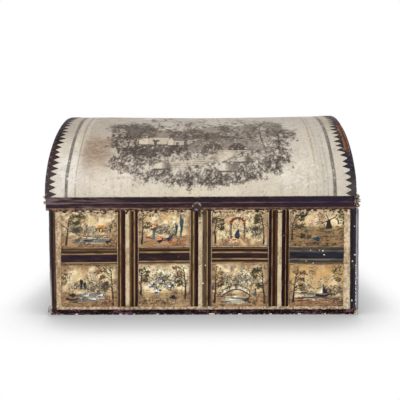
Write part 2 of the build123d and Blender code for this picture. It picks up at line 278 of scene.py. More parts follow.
# Sheets
def field(seed, waves, low, high):
    """Smooth noise over a plane in mm, as a sum of waves between two lengths."""
    rng = np.random.default_rng(seed)
    turn = rng.uniform(0, 2 * math.pi, waves)
    number = 2 * math.pi / np.exp(rng.uniform(math.log(low), math.log(high), waves))
    phase = rng.uniform(0, 2 * math.pi, waves)

    def height(u, v):
        total = np.zeros(np.broadcast(u, v).shape)
        for t, k, p in zip(turn, number, phase):
            total = total + np.cos(k * (u * math.cos(t) + v * math.sin(t)) + p)
        return total * math.sqrt(2 / waves)

    return height


def make_mesh(name, points, faces, attributes=(), smooth=True):
    """Object in the scene from points in metres, faces and named colours at the points."""
    mesh = bpy.data.meshes.new(name)
    mesh.from_pydata([tuple(p) for p in points], [], faces)
    for label, values in attributes:
        layer = mesh.color_attributes.new(label, "FLOAT_COLOR", "POINT")
        layer.data.foreach_set("color", np.asarray(values, np.float32).ravel())
    mesh.polygons.foreach_set("use_smooth", [smooth] * len(mesh.polygons))
    mesh.update()
    made = bpy.data.objects.new(name, mesh)
    bpy.context.scene.collection.objects.link(made)
    return made


def paper(name, place, u, v, thick, ragged, cockle, seed, cell, grain=3.0, edges=(1, 1, 1, 1), paint=None):
    """Closed sheet over a grid u by v in mm. place(U, V) gives points and outward normals in mm.
    ragged is how far the cut edges stray and cockle how far the face does. edges says how much
    the sides u low, u high, v low and v high stray. The back has grid lines at every cell-th v only."""
    nu, nv = len(u), len(v)
    U, V = np.meshgrid(u, v, indexing="ij")
    stray = field(seed, 40, grain * 0.4, grain * 5)
    bend = field(seed + 500, 24, 8, 60)
    reach = max(ragged * 4, 0.6)

    def cut(share, distance, a, b):
        """How far a cut edge strays, at a distance from it."""
        return ragged * share * unit(1 - distance / reach) * np.abs(stray(a, b))

    strayed_u = U + cut(edges[0], U - u[0], U * 0, V) - cut(edges[1], u[-1] - U, U * 0 + 77, V)
    strayed_v = V + cut(edges[2], V - v[0], U, V * 0 + 31) - cut(edges[3], v[-1] - V, U, V * 0 + 93)
    base, normal = place(strayed_u, strayed_v)
    lift = cockle * (1 + np.clip(bend(U, V), -1, 1)) * 0.5
    edge = np.minimum(np.minimum(U - u[0], u[-1] - U), np.minimum(V - v[0], v[-1] - V))
    across, along = (U - u[0]) / (u[-1] - u[0]), (V - v[0]) / (v[-1] - v[0])

    front = np.arange(nu * nv).reshape(nu, nv)
    count = nu * nv
    coarse = sorted({*range(0, nv, cell), nv - 1})
    back = -np.ones((nu, nv), int)
    back[0, :] = count + np.arange(nv)
    back[-1, :] = count + nv + np.arange(nv)
    count += 2 * nv
    for k in coarse:
        back[1:-1, k] = count + np.arange(nu - 2)
        count += nu - 2
    found = back >= 0

    def spread(fore, rear):
        """Values of the grid, for the points of the front and of the back."""
        values = np.zeros((count, fore.shape[-1]))
        values[front] = fore
        values[back[found]] = rear[found]
        return values

    points = spread(base + normal * (thick + lift)[..., None], base)
    marks = np.stack([unit(edge / EDGE_REACH), across, along, np.ones_like(edge)], -1)
    attributes = [("marks", spread(marks, marks))]
    if paint is not None:
        shown = np.concatenate([paint(U, V), np.ones((nu, nv, 1))], -1)
        attributes.append(("paint", spread(shown, shown)))

    quads = np.stack([front[:-1, :-1], front[1:, :-1], front[1:, 1:], front[:-1, 1:]], -1)
    faces = quads.reshape(-1, 4).tolist()
    for a, b in zip(coarse, coarse[1:]):
        for i in range(nu - 1):
            near = back[i, a:b + 1] if i == 0 else back[i, [a, b]]
            far = back[i + 1, a:b + 1] if i == nu - 2 else back[i + 1, [a, b]]
            faces.append([*near.tolist(), *far[::-1].tolist()])
    rims = []
    for k, way in ((0, 1), (nv - 1, -1)):
        rims += [[front[i, k], back[i, k], back[i + 1, k], front[i + 1, k]][::way] for i in range(nu - 1)]
    for i, way in ((0, -1), (nu - 1, 1)):
        rims += [[front[i, k], back[i, k], back[i, k + 1], front[i, k + 1]][::way] for k in range(nv - 1)]
    faces += [[int(point) for point in rim] for rim in rims]
    m, n = nu // 2, nv // 2
    facing = np.cross(base[m + 1, n] - base[m, n], base[m, n + 1] - base[m, n])
    if facing @ normal[m, n] < 0:
        faces = [face[::-1] for face in faces]
    return make_mesh(name, points * MM, faces, attributes)


def settle(piece, body, material, slot, *replaced):
    """Gives a piece its material and its body, and hides the nodes it stands for. slot is not used."""
    piece.data.materials.append(material)
    if body is not None:
        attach(piece, body)
    if replaced:
        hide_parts(*replaced)


def dress(material, *names):
    """Gives CAD nodes a material of the scene's own."""
    for name in names:
        for slot in nodes[name].material_slots:
            slot.material = material


def flat(normal_y, face_y):
    """Place on an upright face that looks along -Y or +Y: U runs along X and V up."""

    def place(U, V):
        points = np.stack([U, np.full_like(U, face_y), V], -1)
        return points, np.zeros_like(points) + (0, normal_y, 0)

    return place


# Places on the trunk
BOARD, PAPER = 3.0, 0.3
RIM_LOW, RIM_TOP = 105.0, 118.0
LID_LEFT, LID_RIGHT = (corner.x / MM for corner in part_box("dome_paper"))
LID_MIDDLE = (LID_LEFT + LID_RIGHT) / 2
LID_HALF = (LID_RIGHT - LID_LEFT) / 2
ARCH_Y = -0.75
SHOULDER_RADIUS, CROWN_RADIUS = 64.0, 110.5
SHOULDER_Y, CROWN_DROP = 36.75, 28.5
SHOULDER_TURN = math.atan2(CROWN_DROP, SHOULDER_Y)
SHOULDER_LENGTH = SHOULDER_TURN * SHOULDER_RADIUS
ARCH_LENGTH = 2 * SHOULDER_LENGTH + (math.pi - 2 * SHOULDER_TURN) * CROWN_RADIUS
RISE, RISE_LEFT, RISE_RIGHT = 0.6, 1.7, 1.9
LEAN_LEFT, LEAN_RIGHT = 1.2, -1.1
LEAN_START, LEAN_RUN, LEAN_HALF = 22, 14, 150


def warp(x):
    """How far the old dome has risen: more towards its ends, and most over its left half."""
    t = (np.asarray(x) - LID_MIDDLE) / LID_HALF
    return RISE + RISE_LEFT * unit(-t / 0.7) ** 1.2 + RISE_RIGHT * unit(t - 0.15) ** 1.8


def lean(x, s):
    """How far the end of the dome leans in, in mm."""
    inward = np.where(x < LID_MIDDLE, LEAN_LEFT, LEAN_RIGHT) * unit((s - LEAN_START) / LEAN_RUN)
    return inward * unit(np.abs(x - LID_MIDDLE) / LEAN_HALF) ** 3


def arch(x, s, h):
    """Point at x, at a length s over the dome from its front springing line, h above the board."""
    s = np.asarray(s, float)
    first = s < SHOULDER_LENGTH
    last = s > ARCH_LENGTH - SHOULDER_LENGTH
    turn = SHOULDER_TURN + (s - SHOULDER_LENGTH) / CROWN_RADIUS
    turn = np.where(first, s / SHOULDER_RADIUS, turn)
    turn = np.where(last, math.pi - (ARCH_LENGTH - s) / SHOULDER_RADIUS, turn)
    radius = np.where(first | last, SHOULDER_RADIUS, CROWN_RADIUS) + h
    middle_y = ARCH_Y + np.where(first, -SHOULDER_Y, np.where(last, SHOULDER_Y, 0))
    middle_z = RIM_TOP - np.where(first | last, 0, CROWN_DROP)
    normal = np.stack([np.zeros_like(turn), -np.cos(turn), np.sin(turn)], -1)
    rise = warp(x) * unit(np.sin(turn)) ** 1.5
    y = middle_y - radius * np.cos(turn)
    z = middle_z + radius * np.sin(turn) + rise
    return np.stack([np.broadcast_to(x, y.shape) + lean(x, s), y, z], -1), normal


def ring(half_x, half_y, radius, x=0.0, y=0.0):
    """Place on upright faces that run round a rounded box: U goes up and V round from the front's middle."""
    ax, ay = half_x - radius, half_y - radius
    corner = math.pi / 2 * radius

    def place(U, V):
        side = np.sign(V) + (V == 0)
        d = np.abs(V)
        none = 0 * d
        parts = [
            d <= ax,
            (d > ax) & (d <= ax + corner),
            (d > ax + corner) & (d <= ax + corner + 2 * ay),
            (d > ax + corner + 2 * ay) & (d <= ax + 2 * corner + 2 * ay),
        ]
        a = np.where(parts[1], (d - ax) / radius, 0)
        b = np.where(parts[3], (d - ax - corner - 2 * ay) / radius, 0)
        nx = np.select(parts, [none, np.sin(a), none + 1, np.cos(b)], none)
        ny = np.select(parts, [none - 1, -np.cos(a), none, np.sin(b)], none + 1)
        px = [d, ax + radius * nx, none + half_x, ax + radius * nx]
        py = [none - half_y, -ay + radius * ny, -ay + (d - ax - corner), ay + radius * ny]
        px = np.select(parts, px, ax - (d - ax - 2 * corner - 2 * ay))
        py = np.select(parts, py, none + half_y)
        return np.stack([x + side * px, y + py, U], -1), np.stack([side * nx, ny, none], -1)

    place.front, place.corner, place.flank = ax, corner, 2 * ay
    return place


def steps(low, high, size):
    """Even grid lines about size apart."""
    return np.linspace(low, high, max(2, int(round((high - low) / size)) + 1))


def graded(*spans):
    """Grid lines over spans (low, high, size) that follow each other."""
    lines = [steps(*span) for span in spans]
    return np.concatenate([lines[0]] + [line[1:] for line in lines[1:]])


# Painting
BARK = (0.33, 0.25, 0.19)
PRINT_INK = (0.17, 0.13, 0.12)
PRINT_FINE, DOME_FINE = 5, 3


class Canvas:
    """A flat picture in millimetres, painted in display colours and read at the points of a sheet."""

    def __init__(self, width, height, per_mm, seed, ground):
        self.per_mm = per_mm
        self.rows, self.columns = int(height * per_mm) + 1, int(width * per_mm) + 1
        self.x = (np.arange(self.columns) / per_mm)[None, :] + np.zeros((self.rows, 1))
        self.y = (np.arange(self.rows) / per_mm)[:, None] + np.zeros((1, self.columns))
        self.rng = np.random.default_rng(seed)
        self.rgb = np.ones((self.rows, self.columns, 3)) * np.array(ground)
        self.ink = np.zeros((self.rows, self.columns))
        self.fields = {}

    def noise(self, size, stretch=1.0):
        """Smooth noise whose spots are about size mm across, with a spread of 1 about 0."""
        key = (round(size, 1), stretch)
        if key not in self.fields:
            field = self.rng.standard_normal((self.rows, self.columns)).astype(np.float32)
            fy = np.fft.fftfreq(self.rows)[:, None] * stretch
            fx = np.fft.rfftfreq(self.columns)[None, :]
            spread = size * self.per_mm / 3
            gain = np.exp(-2 * (np.pi * spread) ** 2 * (fx**2 + fy**2))
            field = np.fft.irfft2(np.fft.rfft2(field) * gain, s=field.shape)
            self.fields[key] = (field / field.std()).astype(np.float32)
        shift = (int(self.rng.integers(self.rows)), int(self.rng.integers(self.columns)))
        return np.roll(self.fields[key], shift, (0, 1))

    def window(self, x_low, x_high, y_low, y_high):
        """Slices of the canvas that hold a box in mm."""

        def cut(low, high, count):
            return slice(max(0, int(low * self.per_mm) - 1), max(0, min(count, int(high * self.per_mm) + 3)))

        return cut(y_low, y_high, self.rows), cut(x_low, x_high, self.columns)

    def around(self, points, margin=0.0):
        """Slices of the canvas that hold points in mm, with a margin."""
        xs, ys = zip(*points)
        return self.window(min(xs) - margin, max(xs) + margin, min(ys) - margin, max(ys) + margin)

    def mask(self, part, values):
        """Mask that is 0 outside a part."""
        made = np.zeros_like(self.ink)
        made[part] = values
        return made

    def blob(self, x, y, rx, ry, rough, size=3.0, soft=0.15):
        """Patch with a bushy outline."""
        grow = 1 + 1.6 * rough + soft
        part = self.window(x - rx * grow, x + rx * grow, y - ry * grow, y + ry * grow)
        away = np.hypot((self.x[part] - x) / rx, (self.y[part] - y) / ry) - 1
        return self.mask(part, unit(0.5 - (away + rough * 0.5 * self.noise(size)[part]) / soft))

    def poly(self, *points):
        """Filled shape between points."""
        part = self.around(points)
        x, y = self.x[part], self.y[part]
        inside = np.zeros(x.shape, bool)
        for (xa, ya), (xb, yb) in zip(points, points[1:] + points[:1]):
            if ya != yb:
                crosses = (ya > y) != (yb > y)
                inside ^= crosses & (x < (xb - xa) * (y - ya) / (yb - ya) + xa)
        return self.mask(part, inside)

    def box(self, x_low, y_low, x_high, y_high):
        """Filled upright rectangle."""
        return self.poly((x_low, y_low), (x_high, y_low), (x_high, y_high), (x_low, y_high))

    def near(self, points, width, taper):
        """Window round a line through points, and how far each place in it is covered."""
        part = self.around(points, width)
        x, y = self.x[part], self.y[part]
        away = np.full(x.shape, 1e9)
        count = len(points) - 1
        for i, ((xa, ya), (xb, yb)) in enumerate(zip(points, points[1:])):
            dx, dy = xb - xa, yb - ya
            along = unit(((x - xa) * dx + (y - ya) * dy) / (dx * dx + dy * dy + 1e-9))
            far = np.hypot(x - xa - along * dx, y - ya - along * dy)
            half = width / 2 * (1 + (taper - 1) * (i + along) / count)
            away = np.minimum(away, far - half)
        return part, unit(0.5 - away * self.per_mm / 1.5)

    def stroke(self, points, width, taper=1.0):
        """Mask of a line through points, which thins to width * taper at its end."""
        return self.mask(*self.near(points, width, taper))

    def touch(self, part, cover, colour, amount):
        """Colour laid on a part."""
        self.rgb[part] += amount * cover[..., None] * (np.array(colour) - self.rgb[part])

    def line(self, points, width, colour, amount, taper=1.0):
        """Line laid on in colour."""
        part, cover = self.near(points, width, taper)
        self.touch(part, cover, colour, amount)

    def dab(self, x, y, rx, ry, colour, amount, turn=0.0):
        """One touch of a small brush."""
        part = self.around([(x, y)], 1.5 * max(rx, ry))
        dx, dy = self.x[part] - x, self.y[part] - y
        a = (dx * math.cos(turn) + dy * math.sin(turn)) / rx
        b = (dy * math.cos(turn) - dx * math.sin(turn)) / ry
        phase = self.rng.uniform(0, 2 * math.pi)
        angle = np.arctan2(b, a)
        edge = 1 + 0.22 * np.sin(3 * angle + phase) + 0.12 * np.sin(5 * angle - phase)
        cover = unit((edge - np.hypot(a, b)) * min(rx, ry) * self.per_mm + 0.5)
        self.touch(part, cover, colour, amount)

    def dabs(self, x, y, rx, ry, count, colours, size):
        """Loose cluster of touches within an ellipse."""
        for _ in range(count):
            a, r = self.rng.uniform(0, 2 * math.pi), math.sqrt(self.rng.random())
            self.dab(
                x + rx * r * math.cos(a), y + ry * r * math.sin(a), size * self.rng.uniform(0.6, 1.3),
                size * self.rng.uniform(0.4, 0.8), colours[self.rng.integers(len(colours))],
                self.rng.uniform(0.55, 0.95), self.rng.uniform(0, math.pi),
            )

    def wash(self, mask, colour, amount):
        """Colour laid on where the mask is."""
        part = np.nonzero(mask > 0.003)
        self.rgb[part] += (mask[part] * amount)[:, None] * (np.array(colour) - self.rgb[part])

    def draw(self, mask, darkness):
        """Ink laid on where the mask is."""
        self.ink += mask * darkness

    def hatch(self, mask, angle, spacing, darkness, wobble=0.15):
        """Engraved lines across a patch."""
        turn = math.radians(angle)
        across = (self.y * math.cos(turn) - self.x * math.sin(turn)) / spacing + wobble * self.noise(8)
        self.draw(mask, darkness * unit((0.5 + 0.5 * np.cos(2 * math.pi * across)) * 1.6 - 0.3))

    def scribble(self, mask, per_area, length, darkness, angle=None, spread=0.6):
        """Many short bent strokes, such as leaves or grass."""
        rows, columns = np.nonzero(mask > 0.05)
        count = int(mask.sum() / self.per_mm**2 * per_area)
        if not count:
            return
        picked = self.rng.integers(0, len(rows), count * 2)
        keep = self.rng.random(count * 2) < mask[rows[picked], columns[picked]]
        picked = picked[keep][:count]
        count = len(picked)
        turn = self.rng.uniform(0, 2 * math.pi, count)
        if angle is not None:
            turn = math.radians(angle) + self.rng.normal(0, spread, count)
        bend = self.rng.uniform(-2.5, 2.5, count) / length
        size = length * self.rng.uniform(0.5, 1.3, count)
        moves = max(4, int(length * self.per_mm))
        x, y = columns[picked] / self.per_mm, rows[picked] / self.per_mm
        trail = []
        for _ in range(moves):
            x = x + np.cos(turn) * size / moves
            y = y + np.sin(turn) * size / moves
            turn = turn + bend * size / moves
            trail.append((x, y, darkness * size / moves * self.per_mm))
        self.splat(*(np.concatenate(part) for part in zip(*trail)))

    def splat(self, x, y, amount):
        """Ink dropped at points in mm."""
        px, py = x * self.per_mm, y * self.per_mm
        i, j = np.floor(px).astype(int), np.floor(py).astype(int)
        a, b = px - i, py - j
        for di, wa in ((0, 1 - a), (1, a)):
            for dj, wb in ((0, 1 - b), (1, b)):
                column, row = i + di, j + dj
                good = (column >= 0) & (column < self.columns) & (row >= 0) & (row < self.rows)
                spots = row[good] * self.columns + column[good]
                added = np.bincount(spots, (wa * wb * amount)[good], self.ink.size)
                self.ink += added.reshape(self.ink.shape)

    def leaves(self, x, y, rx, ry, dark, size, dense=1.3, rough=0.5):
        """Clump of foliage, lighter at its upper left."""
        mask = self.blob(x, y, rx, ry, rough, 2.5 * size)
        shade = np.clip(0.55 + 0.35 * ((self.x - x) / rx - (self.y - y) / ry), 0.15, 1)
        self.scribble(mask * shade, dense / size**2 * 1.6, 1.7 * size, dark)
        self.draw(mask * shade * unit(self.noise(1.6 * size) * 0.9 - 0.1), dark * 0.9)

    def tree(self, x, base, height, lean, spread, dark, size):
        """Tree with a bent trunk, a few boughs and clumps of leaves."""
        rng = self.rng
        trunk = height / 26
        top = (x + lean * height, base + height * 0.8)
        middle = (x + lean * height * 0.3 + rng.normal(0, 0.03) * height, base + height * 0.4)
        self.wash(self.stroke([(x, base), middle, top], trunk, 0.35), BARK, 0.75)
        self.draw(self.stroke([(x + trunk * 0.2, base), middle, top], trunk * 0.55, 0.3), 0.8)
        for i in range(6):
            side = 1 if i % 2 else -1
            start = base + height * rng.uniform(0.4, 0.7)
            share = (start - base) / (height * 0.8)
            reach = height * spread * rng.uniform(0.6, 1.1)
            foot = (x + lean * height * share, start)
            tip = (foot[0] + side * reach, start + reach * rng.uniform(0.3, 0.9))
            self.draw(self.stroke([foot, tip], trunk * 0.35, 0.4), 0.7)
            r = height * rng.uniform(0.1, 0.17)
            self.leaves(*tip, r * 1.3, r, dark, size)
        self.leaves(top[0], top[1] + height * 0.05, height * 0.2, height * 0.14, dark, size)

    def house(self, x, y, width, height, wall, roof):
        """Cottage seen at a slant, with a gable at its left."""
        gable = width * 0.38
        left, right = x - width / 2, x + width / 2
        middle = left + gable
        ridge, eaves = y + height, y + height * 0.55
        peak, valley, corner = (left + gable / 2, ridge), (middle, eaves), (right + 0.6, eaves)
        front = self.box(middle, y, right, eaves)
        end = self.poly((left, y), (middle, y), valley, peak, (left, eaves))
        top = self.poly(peak, (right - gable * 0.3, ridge), corner, valley)
        self.ink *= 1 - unit(front + end + top)
        self.wash(front, wall, 0.9)
        self.wash(end, [c * 1.08 for c in wall], 0.9)
        self.wash(top, roof, 0.9)
        self.hatch(top, 70, 0.8, 0.5)
        self.hatch(front, 88, 1.1, 0.18)
        for line in (
            ((left, y), (left, eaves)), ((left, eaves), peak), (peak, valley), (valley, (middle, y)),
            (valley, corner), ((right, eaves), (right, y)), ((left, y), (right, y)),
        ):
            self.draw(self.stroke(line, 0.3), 0.9)
        door = middle + width * 0.15
        self.draw(self.box(door, y, door + width * 0.1, y + height * 0.33), 1.4)
        for share in (0.38, 0.52):
            pane = left + width * share + gable * 0.3
            self.draw(self.box(pane, y + height * 0.2, pane + width * 0.06, y + height * 0.36), 1.2)
        self.wash(self.box(x, ridge - 1, x + width * 0.07, ridge + height * 0.2), roof, 1)

    def read(self, x, y, ink):
        """Colours at points in millimetres, in linear light."""
        cover = (1 - np.exp(-np.clip(self.ink, 0, None)))[..., None]
        final = unit(self.rgb * (1 - cover) + np.array(ink) * cover)
        px = np.clip(x * self.per_mm, 0, self.columns - 1.001)
        py = np.clip(y * self.per_mm, 0, self.rows - 1.001)
        i, j = px.astype(int), py.astype(int)
        a, b = (px - i)[..., None], (py - j)[..., None]
        got = final[j, i] * (1 - a) * (1 - b) + final[j, i + 1] * a * (1 - b)
        got = got + final[j + 1, i] * (1 - a) * b + final[j + 1, i + 1] * a * b
        return linear(got)


# Small printed landscapes of the scene's own, with places as shares of a print's width w and height h
CREAM = (0.78, 0.69, 0.53)
PALE = (0.90, 0.84, 0.70)
OLIVES = ((0.40, 0.36, 0.20), (0.28, 0.25, 0.15), (0.52, 0.46, 0.27), (0.34, 0.28, 0.19))
BROWNS = ((0.50, 0.38, 0.27), (0.62, 0.47, 0.33), (0.36, 0.26, 0.19), (0.70, 0.56, 0.42))
EARTHS = ((0.56, 0.41, 0.28), (0.72, 0.58, 0.41), (0.38, 0.28, 0.20), (0.68, 0.48, 0.36), (0.50, 0.44, 0.30))
MISTS = ((0.54, 0.51, 0.43), (0.64, 0.58, 0.47), (0.44, 0.40, 0.34), (0.72, 0.64, 0.50))
RUSTS = ((0.72, 0.36, 0.24), (0.78, 0.50, 0.34), (0.58, 0.34, 0.24))
SANDS = ((0.72, 0.60, 0.40), (0.80, 0.70, 0.50), (0.52, 0.44, 0.26))
QUAYS = ((0.46, 0.38, 0.29), (0.56, 0.46, 0.35), (0.36, 0.30, 0.24))
TEAL = (0.14, 0.33, 0.33)
SLATE = (0.47, 0.47, 0.43)
NIGHT = (0.07, 0.07, 0.10)
AMBER = (0.80, 0.58, 0.30)
TRUNK = (0.24, 0.17, 0.13)
MIDDLE_TONE = np.array((0.66, 0.57, 0.44))
CONTRAST, INK_STRENGTH = 1.8, 1.5


def earth(c, level, width, count, colours=EARTHS, left=0.0):
    """Ground laid in with short level strokes, with dark touches in it."""
    c.wash(unit((level + 1.2 * c.noise(10)[0:1, :] - c.y) / 3), (0.58, 0.46, 0.33), 0.5)
    for _ in range(2 * count):
        y = level * c.rng.random() ** 0.8
        x = left + c.rng.uniform(-2, width)
        long, wide = c.rng.uniform(2.5, 8), c.rng.uniform(0.5, 1.1)
        tone = colours[c.rng.integers(len(colours))]
        trail = [(x, y), (x + long / 2, y + c.rng.normal(0, 0.4)), (x + long, y + c.rng.normal(0, 0.5))]
        c.line(trail, wide, tone, 0.75, 0.5)
    for _ in range(count // 2):
        x, y = left + c.rng.uniform(0, width), level * c.rng.random()
        c.line([(x, y), (x + c.rng.uniform(1, 3.5), y + c.rng.normal(0, 0.3))], 0.6, TRUNK, 0.7, 0.4)


def old_tree(c, x, base, height, lean, reach, colours=OLIVES):
    """Thin bent tree with boughs to one side or both, and leaves with light between them."""
    rng = c.rng
    knee = (x + lean * height * 0.15 + rng.normal(0, 0.6), base + height * 0.45)
    head = (x + lean * height * 0.55, base + height * 0.85)
    tip = (x + lean * height, base + height)
    c.line([(x, base), knee, head, tip], 1.4, TRUNK, 0.95, 0.4)
    c.line([(x - 0.42, base), (x, base + 0.2 * height), knee], 2.1, TRUNK, 0.8, 0.3)
    for k in range(7):
        share = 0.35 + 0.09 * k
        foot = (x + lean * height * share * share, base + height * share)
        side = 1 if (k % 2 if abs(lean) < 0.08 else lean > 0) else -1
        if k == 2:
            side = -side
        out = reach * rng.uniform(0.5, 1.0)
        end = (foot[0] + side * out, foot[1] + out * rng.uniform(0.1, 0.6))
        half_way = (foot[0] + end[0]) / 2
        c.line([foot, (half_way, end[1]), end], 0.7, TRUNK, 0.9, 0.4)
        c.dab(*end, reach * 0.26, reach * 0.15, colours[k % len(colours)], 0.6, 0.6)
        c.dabs(*end, reach * 0.34, reach * 0.24, 9, colours, 0.9)
        c.dabs(half_way, end[1] + 0.8, reach * 0.3, reach * 0.16, 5, colours, 0.8)
    c.dabs(*tip, reach * 0.5, reach * 0.25, 12, colours, 0.95)


def thicket(c, x, y, rx, ry, count, colours=MISTS):
    """Far bushes, pale, with fine lines."""
    c.dabs(x, y, rx * 1.1, ry * 1.2, 2 * count, colours, 1.0)
    c.scribble(c.blob(x, y, rx, ry, 0.5), 1.4, 1.8, 0.9)
    c.dabs(x, y, rx * 0.9, ry * 0.8, count // 2, (PALE,), 0.7)
    c.dabs(x, y - ry * 0.3, rx, ry, count // 4, (TRUNK,), 0.6)


def boat(c, x, y, size, sail=None):
    """Small boat, with sails if they have a colour."""
    c.line([(x - size, y + size * 0.2), (x, y), (x + size, y + size * 0.26)], size * 0.36, NIGHT, 1.0, 0.7)
    if sail is not None:
        c.line([(x, y), (x + size * 0.05, y + size * 1.9)], 0.4, NIGHT, 1)
        big = c.poly((x + 0.3, y + size * 0.45), (x + size * 0.9, y + size * 0.5), (x + 0.4, y + size * 1.8))
        c.wash(big, sail, 1)
        small = c.poly((x - 0.3, y + size * 0.5), (x - size * 0.6, y + size * 0.5), (x - 0.2, y + size * 1.5))
        c.wash(small, PALE, 0.9)


def bird(c, x, y, size, colour=NIGHT):
    """Small bird on its legs."""
    c.dab(x, y + size * 0.6, size * 0.6, size * 0.3, colour, 1, 0.3)
    neck = [(x + size * a, y + size * b) for a, b in ((0.4, 0.75), (0.6, 1.2), (0.95, 1.15))]
    c.line(neck, size * 0.22, colour, 1, 0.4)
    c.line([(x - 0.1 * size, y + size * 0.4), (x - 0.15 * size, y)], 0.4, TRUNK, 1)


def pond(c, x, y, rx, ry, colour=SLATE):
    """Water in level strokes with light between them."""
    for _ in range(int(rx * 3)):
        py = c.rng.uniform(-1, 1)
        half = rx * math.sqrt(1 - py * py) * c.rng.uniform(0.3, 0.8)
        px = x + c.rng.uniform(-1, 1) * (rx - half)
        tone = colour if c.rng.random() < 0.7 else PALE
        c.line([(px - half, y + ry * py), (px + half, y + ry * py)], 0.55, tone, 0.8, 0.6)


def cottage(c, x, y, width, height, wall, roof):
    """Small house with a dark door, lit from its right."""
    left, right, eaves, ridge = x - width / 2, x + width / 2, y + height * 0.55, y + height
    c.wash(c.box(left, y, right, eaves), wall, 0.95)
    slope = width * 0.2
    top = ((left - 0.8, eaves), (right + 0.8, eaves), (right - slope, ridge), (left + slope, ridge))
    c.wash(c.poly(*top), roof, 0.95)
    c.line(top[:2], 0.5, TRUNK, 0.9)
    for wall_x in (left, right):
        c.line([(wall_x, y), (wall_x, eaves)], 0.4, TRUNK, 0.8)
    for share, tall in ((0.3, 0.34), (0.62, 0.22), (0.8, 0.22)):
        pane = left + width * share
        c.line([(pane, y + height * 0.08), (pane, y + height * (0.08 + tall))], 0.9, NIGHT, 0.9)


def river_house(c, w, h):
    pond(c, w * 0.62, h * 0.2, w * 0.3, h * 0.09)
    thicket(c, w * 0.5, h * 0.5, w * 0.34, h * 0.09, 46)
    cottage(c, w * 0.72, h * 0.42, 9, 7.5, (0.80, 0.68, 0.50), AMBER)
    boat(c, w * 0.5, h * 0.18, 4.2)
    old_tree(c, w * 0.1, h * 0.08, h * 0.82, 0.16, 13)
    c.dabs(w * 0.93, h * 0.55, 3.5, 8, 34, OLIVES, 0.9)
    bird(c, w * 0.28, h * 0.1, 5.2, SLATE)
    bird(c, w * 0.84, h * 0.08, 4.6)


def poplars(c, w, h):
    earth(c, h * 0.3, w * 0.76, 30, RUSTS + BROWNS, w * 0.14)
    c.dab(w * 0.84, h * 0.62, 1.8, h * 0.27, TEAL, 0.95)
    c.dab(w * 0.74, h * 0.5, 1.2, h * 0.17, TEAL, 0.9)
    thicket(c, w * 0.5, h * 0.46, w * 0.22, h * 0.12, 40)
    c.line([(w * 0.3, h * 0.24), (w * 0.3, h * 0.44)], 3.2, SLATE, 0.95, 0.7)
    c.dab(w * 0.3, h * 0.5, 3.2, 1.8, (0.46, 0.40, 0.34), 1)
    c.dabs(w * 0.3, h * 0.6, 3.4, 2.2, 16, RUSTS + ((0.85, 0.66, 0.30),), 0.8)
    bird(c, w * 0.6, h * 0.14, 5.6, TEAL)
    bird(c, w * 0.42, h * 0.08, 4.8)
    old_tree(c, w * 0.07, h * 0.1, h * 0.85, 0.05, 8)
    c.dabs(w * 0.55, h * 0.84, 7, 2, 12, (AMBER, (0.86, 0.74, 0.52)), 0.9)


def garden_arch(c, w, h):
    c.dabs(w * 0.42, h * 0.2, 15, 4, 50, RUSTS + EARTHS, 0.9)
    for x in (w * 0.34, w * 0.58):
        c.line([(x, h * 0.22), (x, h * 0.64)], 1.5, (0.60, 0.50, 0.40), 0.95)
        c.line([(x + 0.6, h * 0.22), (x + 0.6, h * 0.64)], 0.6, TRUNK, 0.9)
    turns = np.linspace(0, math.pi, 9)
    bow = [(w * 0.46 + w * 0.12 * math.cos(a), h * 0.64 + h * 0.16 * math.sin(a)) for a in turns]
    c.line(bow, 1.3, BROWNS[2], 0.95)
    for x, y in bow:
        c.dabs(x, y, 2.0, 1.6, 7, OLIVES + RUSTS, 0.8)
    c.dab(w * 0.46, h * 0.35, 2.3, 3.8, TEAL, 0.95)
    c.dab(w * 0.46, h * 0.25, 2.4, 1.5, NIGHT, 0.9)
    thicket(c, w * 0.76, h * 0.46, w * 0.14, h * 0.16, 40)
    old_tree(c, w * 0.93, h * 0.08, h * 0.84, -0.12, 10)
    old_tree(c, w * 0.07, h * 0.1, h * 0.72, 0.06, 8)


def windmill(c, w, h):
    c.wash(unit((h * 0.6 - c.y) / 2), (0.56, 0.49, 0.34), 0.6)
    earth(c, h * 0.55, w, 60, OLIVES + BROWNS + EARTHS)
    c.dabs(w * 0.4, h * 0.68, 12, 2.6, 26, ((0.72, 0.50, 0.42), (0.78, 0.62, 0.52)), 0.9)
    tower = c.poly((w * 0.66, h * 0.5), (w * 0.77, h * 0.5), (w * 0.745, h * 0.74), (w * 0.685, h * 0.74))
    c.wash(tower, BROWNS[2], 1)
    for turn in np.radians((25, 115, 205, 295)):
        tip = (w * 0.715 + h * 0.2 * math.cos(turn), h * 0.74 + h * 0.2 * math.sin(turn))
        c.line([(w * 0.715, h * 0.74), tip], 0.9, TRUNK, 0.9)
    c.dab(w * 0.24, h * 0.3, 2.6, 2.4, NIGHT, 0.95)
    c.dab(w * 0.35, h * 0.27, 2.2, 2.0, (0.20, 0.16, 0.14), 0.95)
    c.dab(w * 0.5, h * 0.22, 3.2, 2.2, TEAL, 0.8)
    c.dabs(w * 0.5, h * 0.06, w * 0.5, h * 0.05, 40, OLIVES + BROWNS, 1.1)
    old_tree(c, w * 0.05, h * 0.2, h * 0.75, 0.2, 11, OLIVES[:2] + BROWNS[2:3])
    c.dabs(w * 0.94, h * 0.8, 5, 7, 46, OLIVES, 1.0)


